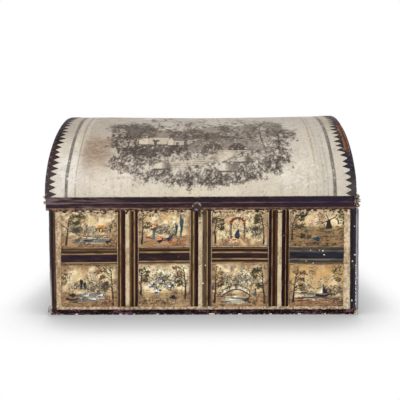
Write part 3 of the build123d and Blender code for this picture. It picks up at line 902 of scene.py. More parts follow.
def lake(c, w, h):
    pond(c, w * 0.55, h * 0.22, w * 0.3, h * 0.12)
    for x, y in ((w * 0.45, h * 0.26), (w * 0.58, h * 0.18), (w * 0.7, h * 0.27)):
        c.dab(x, y, 2.4, 1.1, (0.90, 0.88, 0.82), 0.95)
        c.line([(x + 1.8, y), (x + 2.6, y + 2.2)], 0.7, (0.88, 0.86, 0.80), 0.95)
        c.line([(x - 2.2, y - 1.1), (x + 2.2, y - 1.2)], 0.7, NIGHT, 0.9)
    boat(c, w * 0.2, h * 0.16, 5.8)
    c.dab(w * 0.2, h * 0.28, 3.4, 1.6, NIGHT, 0.95)
    thicket(c, w * 0.5, h * 0.5, w * 0.34, h * 0.12, 60, MISTS + (BROWNS[0],))
    c.dab(w * 0.36, h * 0.56, 1.5, 4.6, (0.14, 0.15, 0.12), 0.9)
    c.dab(w * 0.42, h * 0.52, 1.2, 3.4, (0.16, 0.17, 0.13), 0.9)
    old_tree(c, w * 0.93, h * 0.05, h * 0.9, -0.1, 13, OLIVES + BROWNS)
    c.dabs(w * 0.82, h * 0.12, 8, 3.5, 50, BROWNS + (SLATE,), 0.9)
    c.dabs(w * 0.06, h * 0.7, 3.5, 9, 44, OLIVES, 0.9)


def flock(c, w, h):
    c.wash(np.ones_like(c.ink), PALE, 0.36)
    earth(c, h * 0.4, w, 26, SANDS)
    thicket(c, w * 0.5, h * 0.6, w * 0.36, h * 0.16, 50)
    for x, y in ((w * 0.24, h * 0.5), (w * 0.44, h * 0.58), (w * 0.6, h * 0.47), (w * 0.36, h * 0.36)):
        c.dab(x, y, 3.3, 1.9, (0.90, 0.87, 0.80), 0.95)
        c.dab(x + 0.4, y - 1.1, 2.8, 0.8, (0.46, 0.43, 0.40), 0.9)
        c.dab(x + 3.2, y + 1.1, 1.3, 1.1, NIGHT, 0.95)
        c.line([(x - 1.2, y - 1), (x - 1.2, y - 2.4)], 0.5, TRUNK, 0.9)
    c.dab(w * 0.68, h * 0.22, 3.0, 1.8, NIGHT, 0.9)
    c.dab(w * 0.73, h * 0.17, 1.0, 1.6, SLATE, 0.9)
    old_tree(c, w * 0.92, h * 0.2, h * 0.72, -0.08, 9, OLIVES + BROWNS)
    old_tree(c, w * 0.05, h * 0.3, h * 0.6, 0.06, 7)
    c.dabs(w * 0.3, h * 0.1, w * 0.3, 2.6, 50, OLIVES + BROWNS, 0.9)


def footbridge(c, w, h):
    thicket(c, w * 0.5, h * 0.6, w * 0.34, h * 0.14, 70)
    pond(c, w * 0.44, h * 0.16, w * 0.24, h * 0.1)
    bow = [(w * (0.2 + 0.06 * k), h * (0.3 + 0.13 * math.sin(math.pi * k / 8))) for k in range(9)]
    c.line(bow, 2.0, (0.84, 0.78, 0.68), 0.95)
    c.line([(x, y - 1.3) for x, y in bow], 1.1, NIGHT, 0.9)
    c.line([(x, y + 3.2) for x, y in bow], 0.6, TRUNK, 0.9)
    for x, y in bow[::2]:
        c.line([(x, y), (x, y + 3.2)], 0.6, TRUNK, 0.9)
    c.dab(w * 0.78, h * 0.3, 1.5, 3.0, SLATE, 0.95)
    c.dab(w * 0.78, h * 0.4, 0.9, 1.0, NIGHT, 0.95)
    bird(c, w * 0.62, h * 0.08, 5.6)
    old_tree(c, w * 0.95, h * 0.08, h * 0.84, -0.12, 10)
    old_tree(c, w * 0.06, h * 0.1, h * 0.8, 0.05, 8, OLIVES + BROWNS)
    c.dabs(w * 0.8, h * 0.09, 8, 2.5, 36, OLIVES + BROWNS, 0.9)


def harbour(c, w, h):
    c.wash(unit((c.y - h * 0.45) / (h * 0.3)) * unit(0.7 + 0.3 * c.noise(9)), (0.74, 0.60, 0.40), 0.75)
    pond(c, w * 0.5, h * 0.22, w * 0.44, h * 0.14, (0.48, 0.42, 0.35))
    earth(c, h * 0.2, w, 50, BROWNS)
    c.dabs(w * 0.82, h * 0.38, w * 0.16, h * 0.12, 70, QUAYS, 1.1)
    boat(c, w * 0.62, h * 0.24, 6.2, (0.12, 0.16, 0.26))
    boat(c, w * 0.28, h * 0.32, 2.8, RUSTS[1])
    c.dabs(w * 0.5, h * 0.46, w * 0.42, 1.8, 44, MISTS + BROWNS, 0.9)
    c.dabs(w * 0.9, h * 0.78, 5, 8, 44, OLIVES + ((0.36, 0.40, 0.38),), 0.95)
    old_tree(c, w * 0.08, h * 0.12, h * 0.7, 0.14, 9, OLIVES + BROWNS)


VIEWS = (river_house, poplars, garden_arch, windmill, lake, flock, footbridge, harbour)
OWN_GROUND = (poplars, garden_arch, windmill, harbour)
BROWNED = {river_house: 0.09, lake: 0.09, harbour: 0.08}


def picture(index, width, height):
    """One of the eight small hand-coloured landscapes, each with motifs of its own."""
    c = Canvas(width, height, PRINT_FINE, 40 + index, CREAM)
    view = VIEWS[index]
    c.wash(unit(0.4 + 0.5 * c.noise(12)), (0.72, 0.60, 0.45), 0.55)
    c.wash(unit(c.noise(5) + 0.4) * np.clip(c.y / height, 0.35, 1), PALE, 0.6)
    edge = np.minimum(np.minimum(c.x, width - c.x), np.minimum(c.y, height - c.y))
    c.wash(unit(1 - edge / 6 + 0.25 * c.noise(4)), (0.52, 0.40, 0.29), 0.55)
    if view not in OWN_GROUND:
        earth(c, height * 0.34, width, 44)
    view(c, width, height)
    c.scribble(unit(0.5 + 0.7 * c.noise(7)), 0.7, 2.2, 1.1)
    c.wash(unit(0.8 - edge) * unit(c.noise(7)), (0.28, 0.19, 0.14), 0.7)
    c.rgb = np.clip(MIDDLE_TONE + CONTRAST * (c.rgb - MIDDLE_TONE) - 0.01, 0.03, 0.97)
    c.ink *= INK_STRENGTH
    c.wash(np.ones_like(c.ink), (0.46, 0.34, 0.22), BROWNED.get(view, 0))
    c.wash(unit(c.noise(9) - 1.0), (0.62, 0.48, 0.33), 0.4)
    c.wash(unit(c.noise(0.8) - 2.3), (0.30, 0.23, 0.17), 0.7)
    return c


# Printed landscape on the dome
DOME_PAPER = (0.80, 0.765, 0.70)
DOME_INK = (0.192, 0.147, 0.125)
BLEACHED = (0.84, 0.81, 0.76)
STREAKS = (BLEACHED, (0.55, 0.49, 0.43), (0.62, 0.57, 0.51))
TREES = ((-76, 44, 58, -0.05), (-66, 50, 44, 0.08), (66, 46, 62, -0.04), (80, 44, 42, 0.05), (-8, 64, 26, 0))
CLUMPS = ((-80, 62, 13, 20), (-70, 86, 13, 12), (76, 92, 12, 9), (82, 60, 8, 11), (-60, 74, 8, 8))
FOREGROUND = (
    (-72, 30, 15, 6.5), (-48, 24, 15, 5), (-22, 19, 17, 5), (8, 18, 18, 5.5),
    (38, 22, 17, 6), (62, 31, 15, 7.5), (77, 42, 10, 9), (-83, 42, 8, 9),
)
REEDS = ((-56, 17), (-34, 15), (-12, 13), (14, 13), (30, 15), (52, 19), (70, 25), (88, 48), (-88, 34))
LEFT_LINES = (
    (20.6, 2.8, (0.33, 0.315, 0.28), 0.92), (19.4, 0.6, (0.18, 0.16, 0.15), 0.8),
    (21.7, 0.5, (0.18, 0.16, 0.15), 0.8), (29.6, 0.6, (0.40, 0.27, 0.18), 0.8),
)
RIGHT_LINES = (
    (20.4, 3.0, (0.34, 0.31, 0.29), 0.92), (19.2, 0.7, (0.16, 0.13, 0.13), 0.85),
    (21.7, 0.5, (0.20, 0.17, 0.16), 0.8), (38.5, 0.7, (0.55, 0.43, 0.31), 0.7),
    (34.5, 0.8, (0.56, 0.53, 0.48), 0.6), (27.0, 0.8, (0.56, 0.53, 0.48), 0.6),
    (31.0, 0.7, (0.58, 0.55, 0.50), 0.5),
)
CONTRASTS = (
    (225, 80, 24, 12, -0.38), (92, 26, 26, 8, -0.32), (216, 27, 26, 8, -0.18),
    (80, 45, 22, 12, 0.26), (155, 80, 26, 10, 0.18), (152, 46, 28, 11, 0.24),
)


def ground_with_painted_shade(c, middle, width):
    """The dome paper's ground: painted shade that darkens it upward and painted light low at the front, and
    its own ageing: bleached and stained in places, streaked.
    """
    x, y = c.x - middle, c.y
    # Painted shade: darker upward. Painted light: lighter low at the front.
    c.wash(unit((y - 30) / 80), (0.66, 0.625, 0.58), 0.85)
    c.wash(unit(1 - y / 22) * unit(1.1 - np.abs(x + 5) / 120), (0.85, 0.795, 0.685), 0.6)
    c.wash(c.blob(24, 24, 14, 20, 0.6, 8, 0.6), (0.88, 0.86, 0.84), 0.6)
    c.wash(c.blob(middle - 96, 22, 22, 16, 0.6, 8, 0.8), (0.86, 0.81, 0.75), 0.6)
    c.wash(unit(1 - (width - c.x) / 46), (0.72, 0.69, 0.64), 0.5)
    for _ in range(190):
        sx, sy = c.rng.uniform(8, width - 8), c.rng.uniform(-10, 110)
        tone = STREAKS[c.rng.integers(3)]
        end = (sx + c.rng.normal(0, 0.8), sy + c.rng.uniform(12, 40))
        c.line([(sx, sy), end], c.rng.uniform(0.5, 1.4), tone, 0.22, 0.3)
    c.wash(unit(c.noise(26) * 0.5 + 0.1), (0.73, 0.69, 0.62), 0.35)
    c.wash(unit(c.noise(9, 0.4) * 0.6 - 0.3), (0.70, 0.67, 0.62), 0.35)
    c.wash(unit(c.noise(18) - 1.2), (0.86, 0.83, 0.78), 0.5)
    fading = np.where(y < 50, np.abs((y - 50) / 23) ** 2.4, ((y - 50) / 22) ** 4)
    stain = np.exp(-((c.x - 46) / 20) ** 4 - fading) * unit((c.x - 29) / 4)
    c.wash(stain * unit(0.85 + 0.15 * c.noise(6, 0.3)), (0.50, 0.405, 0.32), 0.85)
    # Painted shade: darker over the top at the left.
    c.wash(unit(1 - c.x / 90) ** 0.4 * unit((y - 66) / 14), (0.60, 0.55, 0.50), 0.7)


def vignette(c, middle):
    """Masses of tone in a bushy oval: sky, hills and land. Gives the oval's mask."""
    x, y = c.x - middle, c.y
    oval = np.hypot(x / 91, (y - 70) / 56)
    bushy = oval + 0.07 * c.noise(3) + 0.08 * c.noise(14)
    inside = unit((1.0 - bushy) * 9)
    tone = 0.20 + 0.34 * np.exp(-((y - 68) / 15) ** 2) * unit((50 - x) / 30)
    tone += 0.26 * np.exp(-((x + 70) / 24) ** 2 - ((y - 44) / 14) ** 2) - 0.12 * unit((y - 88) / 14)
    grain = 0.14 * c.noise(16) + 0.15 * c.noise(5) + 0.24 * c.noise(3) + 0.30 * c.noise(2)
    c.draw(inside * np.clip(tone + grain, 0, 2), 1.0)
    sky = inside * unit((y - 84) / 12)
    c.hatch(sky * unit(0.5 + 0.5 * c.noise(22)), 3, 3.0, 0.30)
    skyline = 88 + 7 * np.sin(x / 17) + 2 * c.noise(12)[0:1, :]
    hills = inside * unit((skyline - y) / 1.5) * unit((y - 66) / 3)
    c.draw(hills, 0.24)
    c.hatch(hills, 62, 1.0, 0.35)
    land = inside * unit((70 + 3 * np.sin(x / 23 + 1) - y) / 2)
    c.draw(land, 0.10)
    c.hatch(land * unit(0.5 + 0.6 * c.noise(16)), 8, 1.1, 0.40)
    c.scribble(land, 0.5, 2.2, 0.55, 12, 0.5)
    return inside


def river_and_bridge(c, middle, inside):
    """Light water that runs from a stone bridge with two arches to the foreground."""
    banks = (
        (2, 58), (26, 58), (16, 46), (-8, 38), (-44, 34), (-60, 28), (-22, 29), (22, 36), (40, 45), (44, 58),
    )
    river = c.poly(*((middle + px, py) for px, py in banks))
    river = unit(river * 1.4 - 0.25 * (c.noise(4) > 1)) * inside
    c.ink *= 1 - 0.75 * river
    c.wash(river, (0.84, 0.78, 0.67), 0.5)
    c.hatch(river * unit(0.4 + 0.5 * c.noise(12)), 0, 2.0, 0.5)

    deck = [(middle + px, py) for px, py in ((-14, 60), (4, 66), (24, 69), (46, 66), (62, 60))]
    bridge = c.poly(*deck, (middle + 62, 50), (middle - 14, 50))
    c.ink *= 1 - 0.7 * bridge
    c.draw(bridge, 0.25)
    for px, r in ((middle + 12, 10.5), (middle + 37, 9.5)):
        hole = unit(6 * (1 - np.hypot((c.x - px) / r, (c.y - 50) / (r * 1.05))))
        c.draw(hole * bridge, 1.5)
    c.hatch(bridge, 0, 2.2, 0.35, 0.05)
    c.draw(c.stroke(deck, 0.9), 1.2)
    c.draw(c.stroke([(px, py - 3) for px, py in deck], 0.4), 0.9)


def farm_and_trees(c, middle, inside):
    """Farm on the left bank, trees, and the dark leafy foreground with rocks and reeds."""
    bank = c.blob(middle - 52, 52, 38, 9, 0.35, 5) * inside
    c.draw(bank, 0.35)
    c.scribble(bank, 1.4, 2.4, 0.55, 20, 0.8)
    c.house(middle - 50, 58, 34, 20, (0.74, 0.69, 0.61), (0.50, 0.45, 0.40))
    c.house(middle - 26, 57, 17, 12, (0.70, 0.65, 0.57), (0.46, 0.41, 0.37))
    for px, base, tall, lean_share in TREES:
        c.tree(middle + px, base, tall, lean_share, 0.24, 0.62 if px < 0 else 0.5, 1.5)
    for px, py, rx, ry in CLUMPS:
        c.leaves(middle + px, py, rx, ry, 0.75, 1.5)
    for px, py, rx, ry in FOREGROUND:
        c.leaves(middle + px, py, rx, ry, 1.25, 1.3, 2.0, 0.9)
    for px, py, r in ((-38, 31, 6), (26, 29, 7), (44, 38, 5)):
        rock = c.blob(middle + px, py, r * 1.5, r * 0.7, 0.15)
        c.ink *= 1 - 0.8 * rock
        c.draw(rock * unit((c.x - middle - px) / r + 0.4), 0.7)
        c.draw(c.blob(middle + px, py - r * 0.6, r * 1.4, 0.9, 0.2), 1.1)
    for px, py in REEDS:
        c.scribble(c.blob(middle + px, py, 9, 3.6, 0.8, 2), 0.75, 1.8, 0.9)


def end_lines(c, away, lines, sway):
    """Lines printed beside the picture: away is the distance from an end of the dome."""
    for place, wide, tone, amount in lines:
        line = unit(0.5 + (wide / 2 - np.abs(away - place - sway)) * 2)
        c.wash(line * unit(1.05 - 0.28 * np.abs(c.noise(5, 0.25))), tone, amount)


def dome_wear(c, middle, width, height):
    """Specks, rubbed places, scratches and grime over all."""
    right = width - c.x
    for size, least, tone, amount in (
        (0.9, 2.1, (0.42, 0.36, 0.31), 0.8), (2.2, 2.7, (0.45, 0.38, 0.31), 0.6),
        (1.6, 1.2, (0.56, 0.50, 0.44), 0.42), (1.6, 1.3, (0.93, 0.90, 0.86), 0.3),
    ):
        c.wash(unit(c.noise(size) - least), tone, amount)
    rubbed = unit(c.noise(3.0) - 1.9) + 0.8 * c.blob(middle + 100, 22, 17, 13, 1.2, 4)
    c.wash(rubbed * unit(c.noise(1.2)), (0.90, 0.87, 0.83), 0.8)
    c.ink *= 1 - unit(rubbed) * 0.5
    for _ in range(26):
        sx, sy = c.rng.uniform(0, width), c.rng.uniform(0, height)
        dx, dy = c.rng.normal(0, 4), c.rng.normal(0, 16)
        scratch = c.stroke([(sx, sy), (sx + dx, sy + dy)], 0.35, 0.3)
        c.wash(scratch, (0.88, 0.85, 0.80) if c.rng.random() < 0.5 else (0.56, 0.49, 0.42), 0.5)
    c.wash(unit((26 - right) / 10) * unit((c.y - 76) / 26), (0.52, 0.46, 0.40), 0.45)
    grime = unit(1 - np.minimum(c.x, right) / 9) * unit(0.5 + 0.5 * c.noise(5))
    c.wash(grime, (0.58, 0.53, 0.48), 0.45)


def dome_picture():
    """A grey engraved landscape of the scene's own: bridge, farm, trees and a leafy foreground."""
    width, height = LID_RIGHT - LID_LEFT, ARCH_LENGTH
    c = Canvas(width, height, DOME_FINE, 7, DOME_PAPER)
    middle, right = width / 2 + 1.0, width - c.x
    ground_with_painted_shade(c, middle, width)
    inside = vignette(c, middle)
    river_and_bridge(c, middle, inside)
    farm_and_trees(c, middle, inside)

    end_lines(c, c.x, LEFT_LINES, 0.35 * np.sin(c.y / 31))
    c.wash(unit(1 - np.abs(c.x - 25.5) / 3.4), BLEACHED, 0.45)
    c.wash(unit(1 - np.abs(c.x - 33.0) / 3.0), BLEACHED, 0.35)
    end_lines(c, right, RIGHT_LINES, 0.3 * np.sin(c.y / 27 + 1))
    paleness = unit(1 - np.abs(right - 29) / 8) * unit(0.7 + 0.4 * c.noise(20, 0.2))
    c.wash(paleness, (0.68, 0.66, 0.62), 0.5)

    # Stronger contrast in the print, and light flecks in the dark leaves
    c.ink += 0.65 * (c.ink - 0.42) * unit(c.ink / 0.3)
    for px, py, rx, ry, more in CONTRASTS:
        c.ink *= 1 + more * np.exp(-((c.x - px) / rx) ** 2 - ((c.y - py) / ry) ** 2)
    flecks = unit(c.noise(1.8) - 1.0) * unit(c.ink - 0.5) * (c.y < 66)
    c.ink *= 1 - 0.9 * unit(flecks * 1.6)
    c.wash(flecks, (0.90, 0.85, 0.78), 0.6)
    dome_wear(c, middle, width, height)
    return c


# Boards, linings and cover papers
board = Shader("pasteboard", (132, 108, 84), 0.85, 1)
board.patches(
    (2.5, 0.45, 0.65, 3, (98, 78, 60), 0.7, (0.15, 1, 3)),
    (1.0, 0.55, 0.7, 3, (172, 150, 122), 0.5, (0.2, 1, 2)),
    (30, 0.5, 0.7, 4, (92, 70, 52), 0.4),
)
board.bump(0.15, 0.9, stretch=(0.3, 1, 2))
dress(
    board.done(0.15), "bottom_board", "front_board", "back_board", "left_board", "right_board",
    "lid_front_board", "lid_left_end", "lid_right_end",
)

rim_paper = Shader("rim_paper", (58, 42, 44), 0.55, 2)
aged(rim_paper, (92, 76, 70), 0.4, (150, 132, 112), 0.7, (110, 98, 92), 0.35)
rim_paper.patches((2.0, 0.5, 0.66, 4, (30, 18, 22), 0.6, (0.12, 1, 1)))
dress(rim_paper.done(0.14), "lid_back_board")

lining = Shader("lining_paper", (205, 194, 166), 0.75, 3)
aged(lining, (176, 150, 108), 0.5, (128, 92, 58), 0.7, (222, 214, 192), 0.3)
dress(lining.done(), "floor_lining", "wall_lining", "lid_lining", "left_end_lining", "right_end_lining")

cover = Shader("side_paper", (112, 116, 126), 0.6, 5)
cover.patches(
    (3.2, 0.5, 0.62, 3, (78, 82, 96), 0.75),
    (1.8, 0.6, 0.68, 2, (160, 152, 138), 0.6),
    (1.1, 0.66, 0.72, 2, (70, 48, 42), 0.6),
)
aged(cover, (120, 108, 92), 0.35, (60, 50, 46), 0.5, (168, 166, 162), 0.35)
cover.patches((7, 0.62, 0.72, 4, (178, 170, 156), 0.5, (1, 1, 0.25)))
dress(
    cover.done(), "back_paper", "left_side_paper", "right_side_paper", "base_paper",
    "left_end_paper", "right_end_paper",
)

# Ground paper of the front
STRIP_EDGES = (-86.0, -65.2, -13.8, 7.4, 63.8, 84.6)
COLUMNS = ((-142.5, -86.3), (-64.9, -14.1), (7.8, 63.5), (84.9, 138.6))
OPEN_GROUND = ((-78.0, -74.1), (-5.4, -1.5), (73.2, 77.1), (138.8, 144.5))
# The lowest is a rust stain; the other three are painted shadow of the catch hook: height, radius, colour and
# amount of each.
STAIN_AND_HOOK_SHADOW = (
    (92.2, 0.8, (118, 94, 58), 0.9), (95.9, 0.7, (96, 72, 42), 0.8),
    (98.0, 1.1, (140, 112, 70), 0.6), (100.4, 1.2, (58, 46, 22), 0.85),
)


def painted_rim_shadow(look):
    """Pale bits of paper under the rim, and over them torn dark bits of painted shadow from the rim's
    overhang.
    """
    look.patches((2.4, 0.48, 0.58, 2, (228, 206, 166), 0.7), where=look.past("Z", 99, 101))
    # Torn dark bits: painted shadow under the rim's overhang.
    bits = look.math("ADD", look.noise(3.6, 0.38, 0.66, 3), look.past("Z", 98, 105))
    look.lay(look.span(bits, 1.31, 1.37), (28, 10, 10), 0.97)


cream = Shader("ground_paper", (203, 181, 147), 0.7, 7)
cream.patches((9, 0.45, 0.62, 4, (176, 148, 114), 0.6, (1, 1, 0.35)))
aged(cream, (150, 120, 88), 0.45, (92, 68, 50), 0.7, (220, 203, 174), 0.5)
cream.lay(cream.past("X", -120, -150), (158, 128, 98), 0.9)
cream.lay(cream.both(cream.past("Z", 49.5, 51), cream.past("Z", 68.5, 67)), (150, 122, 92), 0.5)
cream.patches(
    (2.6, 0.5, 0.62, 3, (152, 122, 90), 0.6, (1, 1, 0.3)),
    (2.4, 0.5, 0.66, 3, (230, 210, 174), 0.45, (1, 1, 0.25)),
    (1.4, 0.56, 0.66, 3, (112, 88, 66), 0.6),
    (1.3, 0.58, 0.66, 2, (238, 224, 198), 0.6),
)
# Darker ground paper in the narrow gaps beside the strips and along the cross strips: glue stain and painted
# shade.
for x in STRIP_EDGES:
    cream.lay(cream.box(x - 0.4, x + 0.4, 8, 104), (98, 74, 52), 0.75)
for left, right in COLUMNS:
    for z in (50.1, 67.2):
        cream.lay(cream.box(left, right, z - 0.4, z + 0.4), (98, 74, 52), 0.75)
for left, right in OPEN_GROUND:
    for low, high in ((8, 50), (68, 103)):
        cream.lay(cream.box(left, right, low, high), (224, 206, 170), 0.28)
# Rust stain and painted shadow of the catch hook, at X -3.1 mm.
for z, radius, tone, amount in STAIN_AND_HOOK_SHADOW:
    cream.lay(cream.spot(-3.1, z, radius, 1.6), tone, amount)
# Painted shadow under the rim, over pale bits of paper.
painted_rim_shadow(cream)
foot = cream.past("Z", 12.5, 8.5)
margins = cream.math("ADD", cream.past("X", 138, 139), cream.past("X", -142, -143.2))
cream.lay(foot, (142, 124, 100), 0.5)
for where, dark, pale in ((foot, 0.75, 0.5), (margins, 0.5, 0.32)):
    cream.patches(
        (3.0, 0.5, 0.57, 3, (118, 92, 66), dark), (2.4, 0.5, 0.57, 2, (234, 214, 176), pale), where=where)
dress(cream.done(), "front_paper")

# Dome: board, printed paper, toothed bands
WORN = 5.6
NEAR_END = 9.0
BAND_TURNOVER, BAND_WIDTH = 4.0, 8.0
TOOTH_PITCH, TOOTH_STRAY, FOLD_HALF = 6.3, 0.3, 0.35
TOOTH_REACH, TOOTH_ROOT = (8.4, 10.2), (3.1, 4.0)
worn_shape = field(61, 20, 3, 14)


def worn_stretch(s):
    """1 along the stretch of the dome's right edge where the paper has worn off."""
    return unit((s - 42) / 7) * unit((97 - s) / 8)


def worn(s):
    """How far in from the right end the paper has worn off the dome's edge."""
    return worn_stretch(s) * (WORN + 0.4 * worn_shape(s, 0 * s))


def on_board(U, V):
    """Place on the inner face of the dome's board."""
    return arch(U, V, -BOARD)


def on_dome(U, V):
    """Place on the dome's board, drawn in at the right end where the paper has worn off."""
    near = unit((U - (LID_RIGHT - NEAR_END)) / NEAR_END)
    return arch(U - near * worn(V), V, 0.0)


bent = Shader("bent_board", (118, 86, 66), 0.8, 13)
bent.patches((4.0, 0.52, 0.62, 2, (140, 84, 54), 0.6))
bent.patches((5, 0.36, 0.52, 3, (82, 46, 34), 0.85), where=bent.past("X", 145.2, 146.6))
bent.patches((4, 0.40, 0.52, 3, (176, 138, 110), 0.8), where=bent.past("X", 147.8, 148.8))
bent.bump(0.2, 0.9, stretch=(2, 0.3, 0.3))
across, over = steps(LID_LEFT, LID_RIGHT, 6), steps(0, ARCH_LENGTH, 2)
dome_board = paper("dome_board_bent", on_board, across, over, BOARD, 0.1, 0, 11, cell=1)
settle(dome_board, "lid", bent.done(0.15), "pasteboard", "dome_board")

canvas = dome_picture()
across = graded(*((LID_LEFT + low, LID_LEFT + high, size * FINE) for low, high, size in (
    (0, 19, 1.4), (19, 31.4, 0.7), (31.4, 58, 1.4), (58, 248, 0.82), (248, 283, 1.4), (283, 287.6, 0.7),
    (287.6, 306, 1.4),
)))
over = graded((0, 150, 0.82 * FINE), (150, ARCH_LENGTH, 2.2 * FINE))
dome_paper = paper(
    "dome_paper_printed", on_dome, across, over, PAPER, 0.12, 0.08, 12, cell=12,
    paint=lambda U, V: canvas.read(U - LID_LEFT, V, DOME_INK),
)
dome = Shader("dome_print", None, 0.55, 9)
dome.painted()
aged(dome, (150, 128, 104), 0.14, (92, 76, 64), 0.30, (222, 212, 196), 0.12)
dome.patches((1.2, 0.5, 0.72, 3, (120, 108, 96), 0.30), (1.5, 0.56, 0.72, 3, (228, 218, 200), 0.30))
worn_edges(dome, (150, 112, 78), 0.7, 0.7, 0.4, 0.55, 4)
dome.rough(dome.noise(8, 0.35, 0.7, 3), 0.42, 0.68)
settle(dome_paper, "lid", dome.done(), "dome_paper", "dome_paper")


def toothed(end, edge_x, inward, seed, share, torn, deep, stops, paleness):
    """Band over one end of the dome, with hand-cut teeth, turned down over the end.
    share is the part of the pitch that the root of a tooth takes. torn and deep say how far in the
    band's edge and its teeth are set along the arch. stops colour it along the arch, and paleness is
    how pale its outer half is."""
    rng = np.random.default_rng(seed)
    count = int(round(ARCH_LENGTH / TOOTH_PITCH))
    tips = (np.arange(count) + 0.5) * ARCH_LENGTH / count + rng.normal(0, TOOTH_STRAY, count)
    half = share * TOOTH_PITCH / 2 * rng.uniform(0.88, 1.0, count)
    roots = np.concatenate([tips - half, tips + half])
    reach = rng.uniform(*TOOTH_REACH, count) + 1.2 * deep(tips) + 0.3 * torn(tips)
    floor = rng.uniform(*TOOTH_ROOT, 2 * count) + deep(roots) + 0.25 * torn(roots)
    at = np.concatenate([roots, tips])
    lines = np.sort(np.concatenate([steps(0, ARCH_LENGTH, 0.5), at]))
    lines = lines[np.concatenate([[True], np.diff(lines) > 0.02])]
    lines[-1] = ARCH_LENGTH
    order = np.argsort(at)
    at, depth = at[order], np.concatenate([floor, reach])[order]

    def place(U, V):
        low = -BAND_TURNOVER + torn(V) * (1 + BAND_TURNOVER / WORN)
        high = np.interp(V, at, depth)
        d = low + (U + BAND_TURNOVER) / (BAND_TURNOVER + BAND_WIDTH) * (high - low)
        down = d < 0
        surface_x = edge_x + inward * np.clip(d, 0, None)
        points, normal = arch(surface_x, V, np.where(down, d, PAPER))
        points[..., 0] = np.where(down, edge_x - inward * PAPER, surface_x) + lean(surface_x, V)
        side = np.zeros_like(normal) + (-inward, 0, 0)
        corner = np.abs(d) < FOLD_HALF
        facing = np.where(down[..., None], side, normal)
        return points, np.where(corner[..., None], (side + normal) / math.sqrt(2), facing)

    over_edge = graded((-BAND_TURNOVER, -0.4, 1.2), (-0.4, 0.4, 0.4), (0.4, BAND_WIDTH, 0.95))
    name = "toothed_band_" + end
    made = paper(name, place, over_edge, lines, PAPER, 0.08, 0.12, seed, cell=1, edges=(1, 0.4, 0, 0))
    look = Shader(name, None, 0.5, seed)
    look.stripes(look.marks("along"), stops)
    look.patches((5, 0.5, 0.7, 4, (76, 54, 50), 0.4), (1.5, 0.56, 0.66, 3, (112, 98, 94), 0.45))
    outer = look.span(look.marks("across"), 0.50, 0.36)
    look.patches((2.6, 0.42, 0.58, 3, (120, 106, 106), paleness), where=outer)
    worn_edges(look, (168, 154, 136), 0.3, 0.6, 0.5, 0.62, 4)
    look.bump(0.1, 1.0)
    settle(made, "lid", look.done(0.12), "dark_paper", "sawtooth_band_" + end)


toothed("left", LID_LEFT, 1, 21, 0.96, lambda s: 0 * s, lambda s: 0 * s + 0.8, (
    (0, (60, 46, 48)), (0.1, (44, 24, 28)), (0.2, (24, 12, 18)), (0.3, (20, 14, 20)), (0.36, (40, 33, 34)),
    (0.6, (92, 82, 76)), (0.8, (46, 31, 36)),
), 0.5)
toothed("right", LID_RIGHT, -1, 22, 0.86, worn, lambda s: 1.4 + 1.0 * worn_stretch(s), (
    (0, (60, 56, 58)), (0.05, (44, 40, 46)), (0.085, (24, 20, 34)), (0.155, (34, 20, 24)),
    (0.22, (34, 22, 26)), (0.30, (38, 30, 32)), (0.36, (52, 46, 46)), (0.8, (46, 31, 36)),
), 0.25)

# Dark edgings with gold lines
UPRIGHT, LEVEL = (1, 1, 0.12), (0.12, 0.12, 1)
GLOSS = 0.42
RIM_HALF_Y, RIM_TURN = 100.75, 1.5
BODY_HALF_X, BODY_HALF_Y, BODY_TURN = 153.3, 100.3, 1.8
CORNER_INNER, CORNER_FLANK = {"left": 146.6, "right": 144.6}, 5.2
RIM_STOPS = (
    (0, (72, 48, 36)), (0.07, (98, 70, 58)), (0.20, (44, 22, 28)), (0.40, (36, 16, 28)), (0.51, (96, 74, 72)),
    (0.60, (32, 15, 26)), (0.80, (30, 14, 30)), (0.93, (22, 12, 22)),
)
BOTTOM_STOPS = (
    (0, (54, 36, 32)), (0.14, (38, 18, 22)), (0.30, (24, 6, 14)), (0.55, (26, 8, 22)), (0.9, (22, 8, 12)),
)
# The grey band where the paper turns round the rounded corner is painted sheen.
LEFT_STOPS_WITH_SHEEN = (
    (0, (66, 56, 54)), (0.2, (46, 38, 42)), (0.46, (112, 104, 104)), (0.535, (60, 50, 52)),
    (0.64, (34, 22, 24)), (0.83, (98, 66, 46)), (0.885, (40, 24, 22)), (0.95, (128, 102, 76)),
)
# The light greys near and round the rounded corner are painted sheen; the grey beyond is the side paper.
RIGHT_STOPS_WITH_SHEEN = (
    (0, (52, 44, 44)), (0.04, (24, 20, 30)), (0.2, (34, 31, 40)), (0.34, (30, 26, 32)),
    (0.39, (146, 142, 146)), (0.50, (100, 98, 100)), (0.565, (160, 158, 160)), (0.66, (112, 114, 122)),
)
SLIVERS = ((-127, 2.2), (-83, 2), (-69, 0.8), (-46, 1.6), (8, 4), (36, 2.6), (66, 2), (95, 2.2), (120, 1.2))
CORNER_CHIPS = ((149.5, 59.8, 0.8), (147, 53.5, 0.7), (151.8, 37, 0.6), (146.5, 14.4, 0.8), (149, 88, 0.5))
RUBBED_PALE = (206, 198, 186)


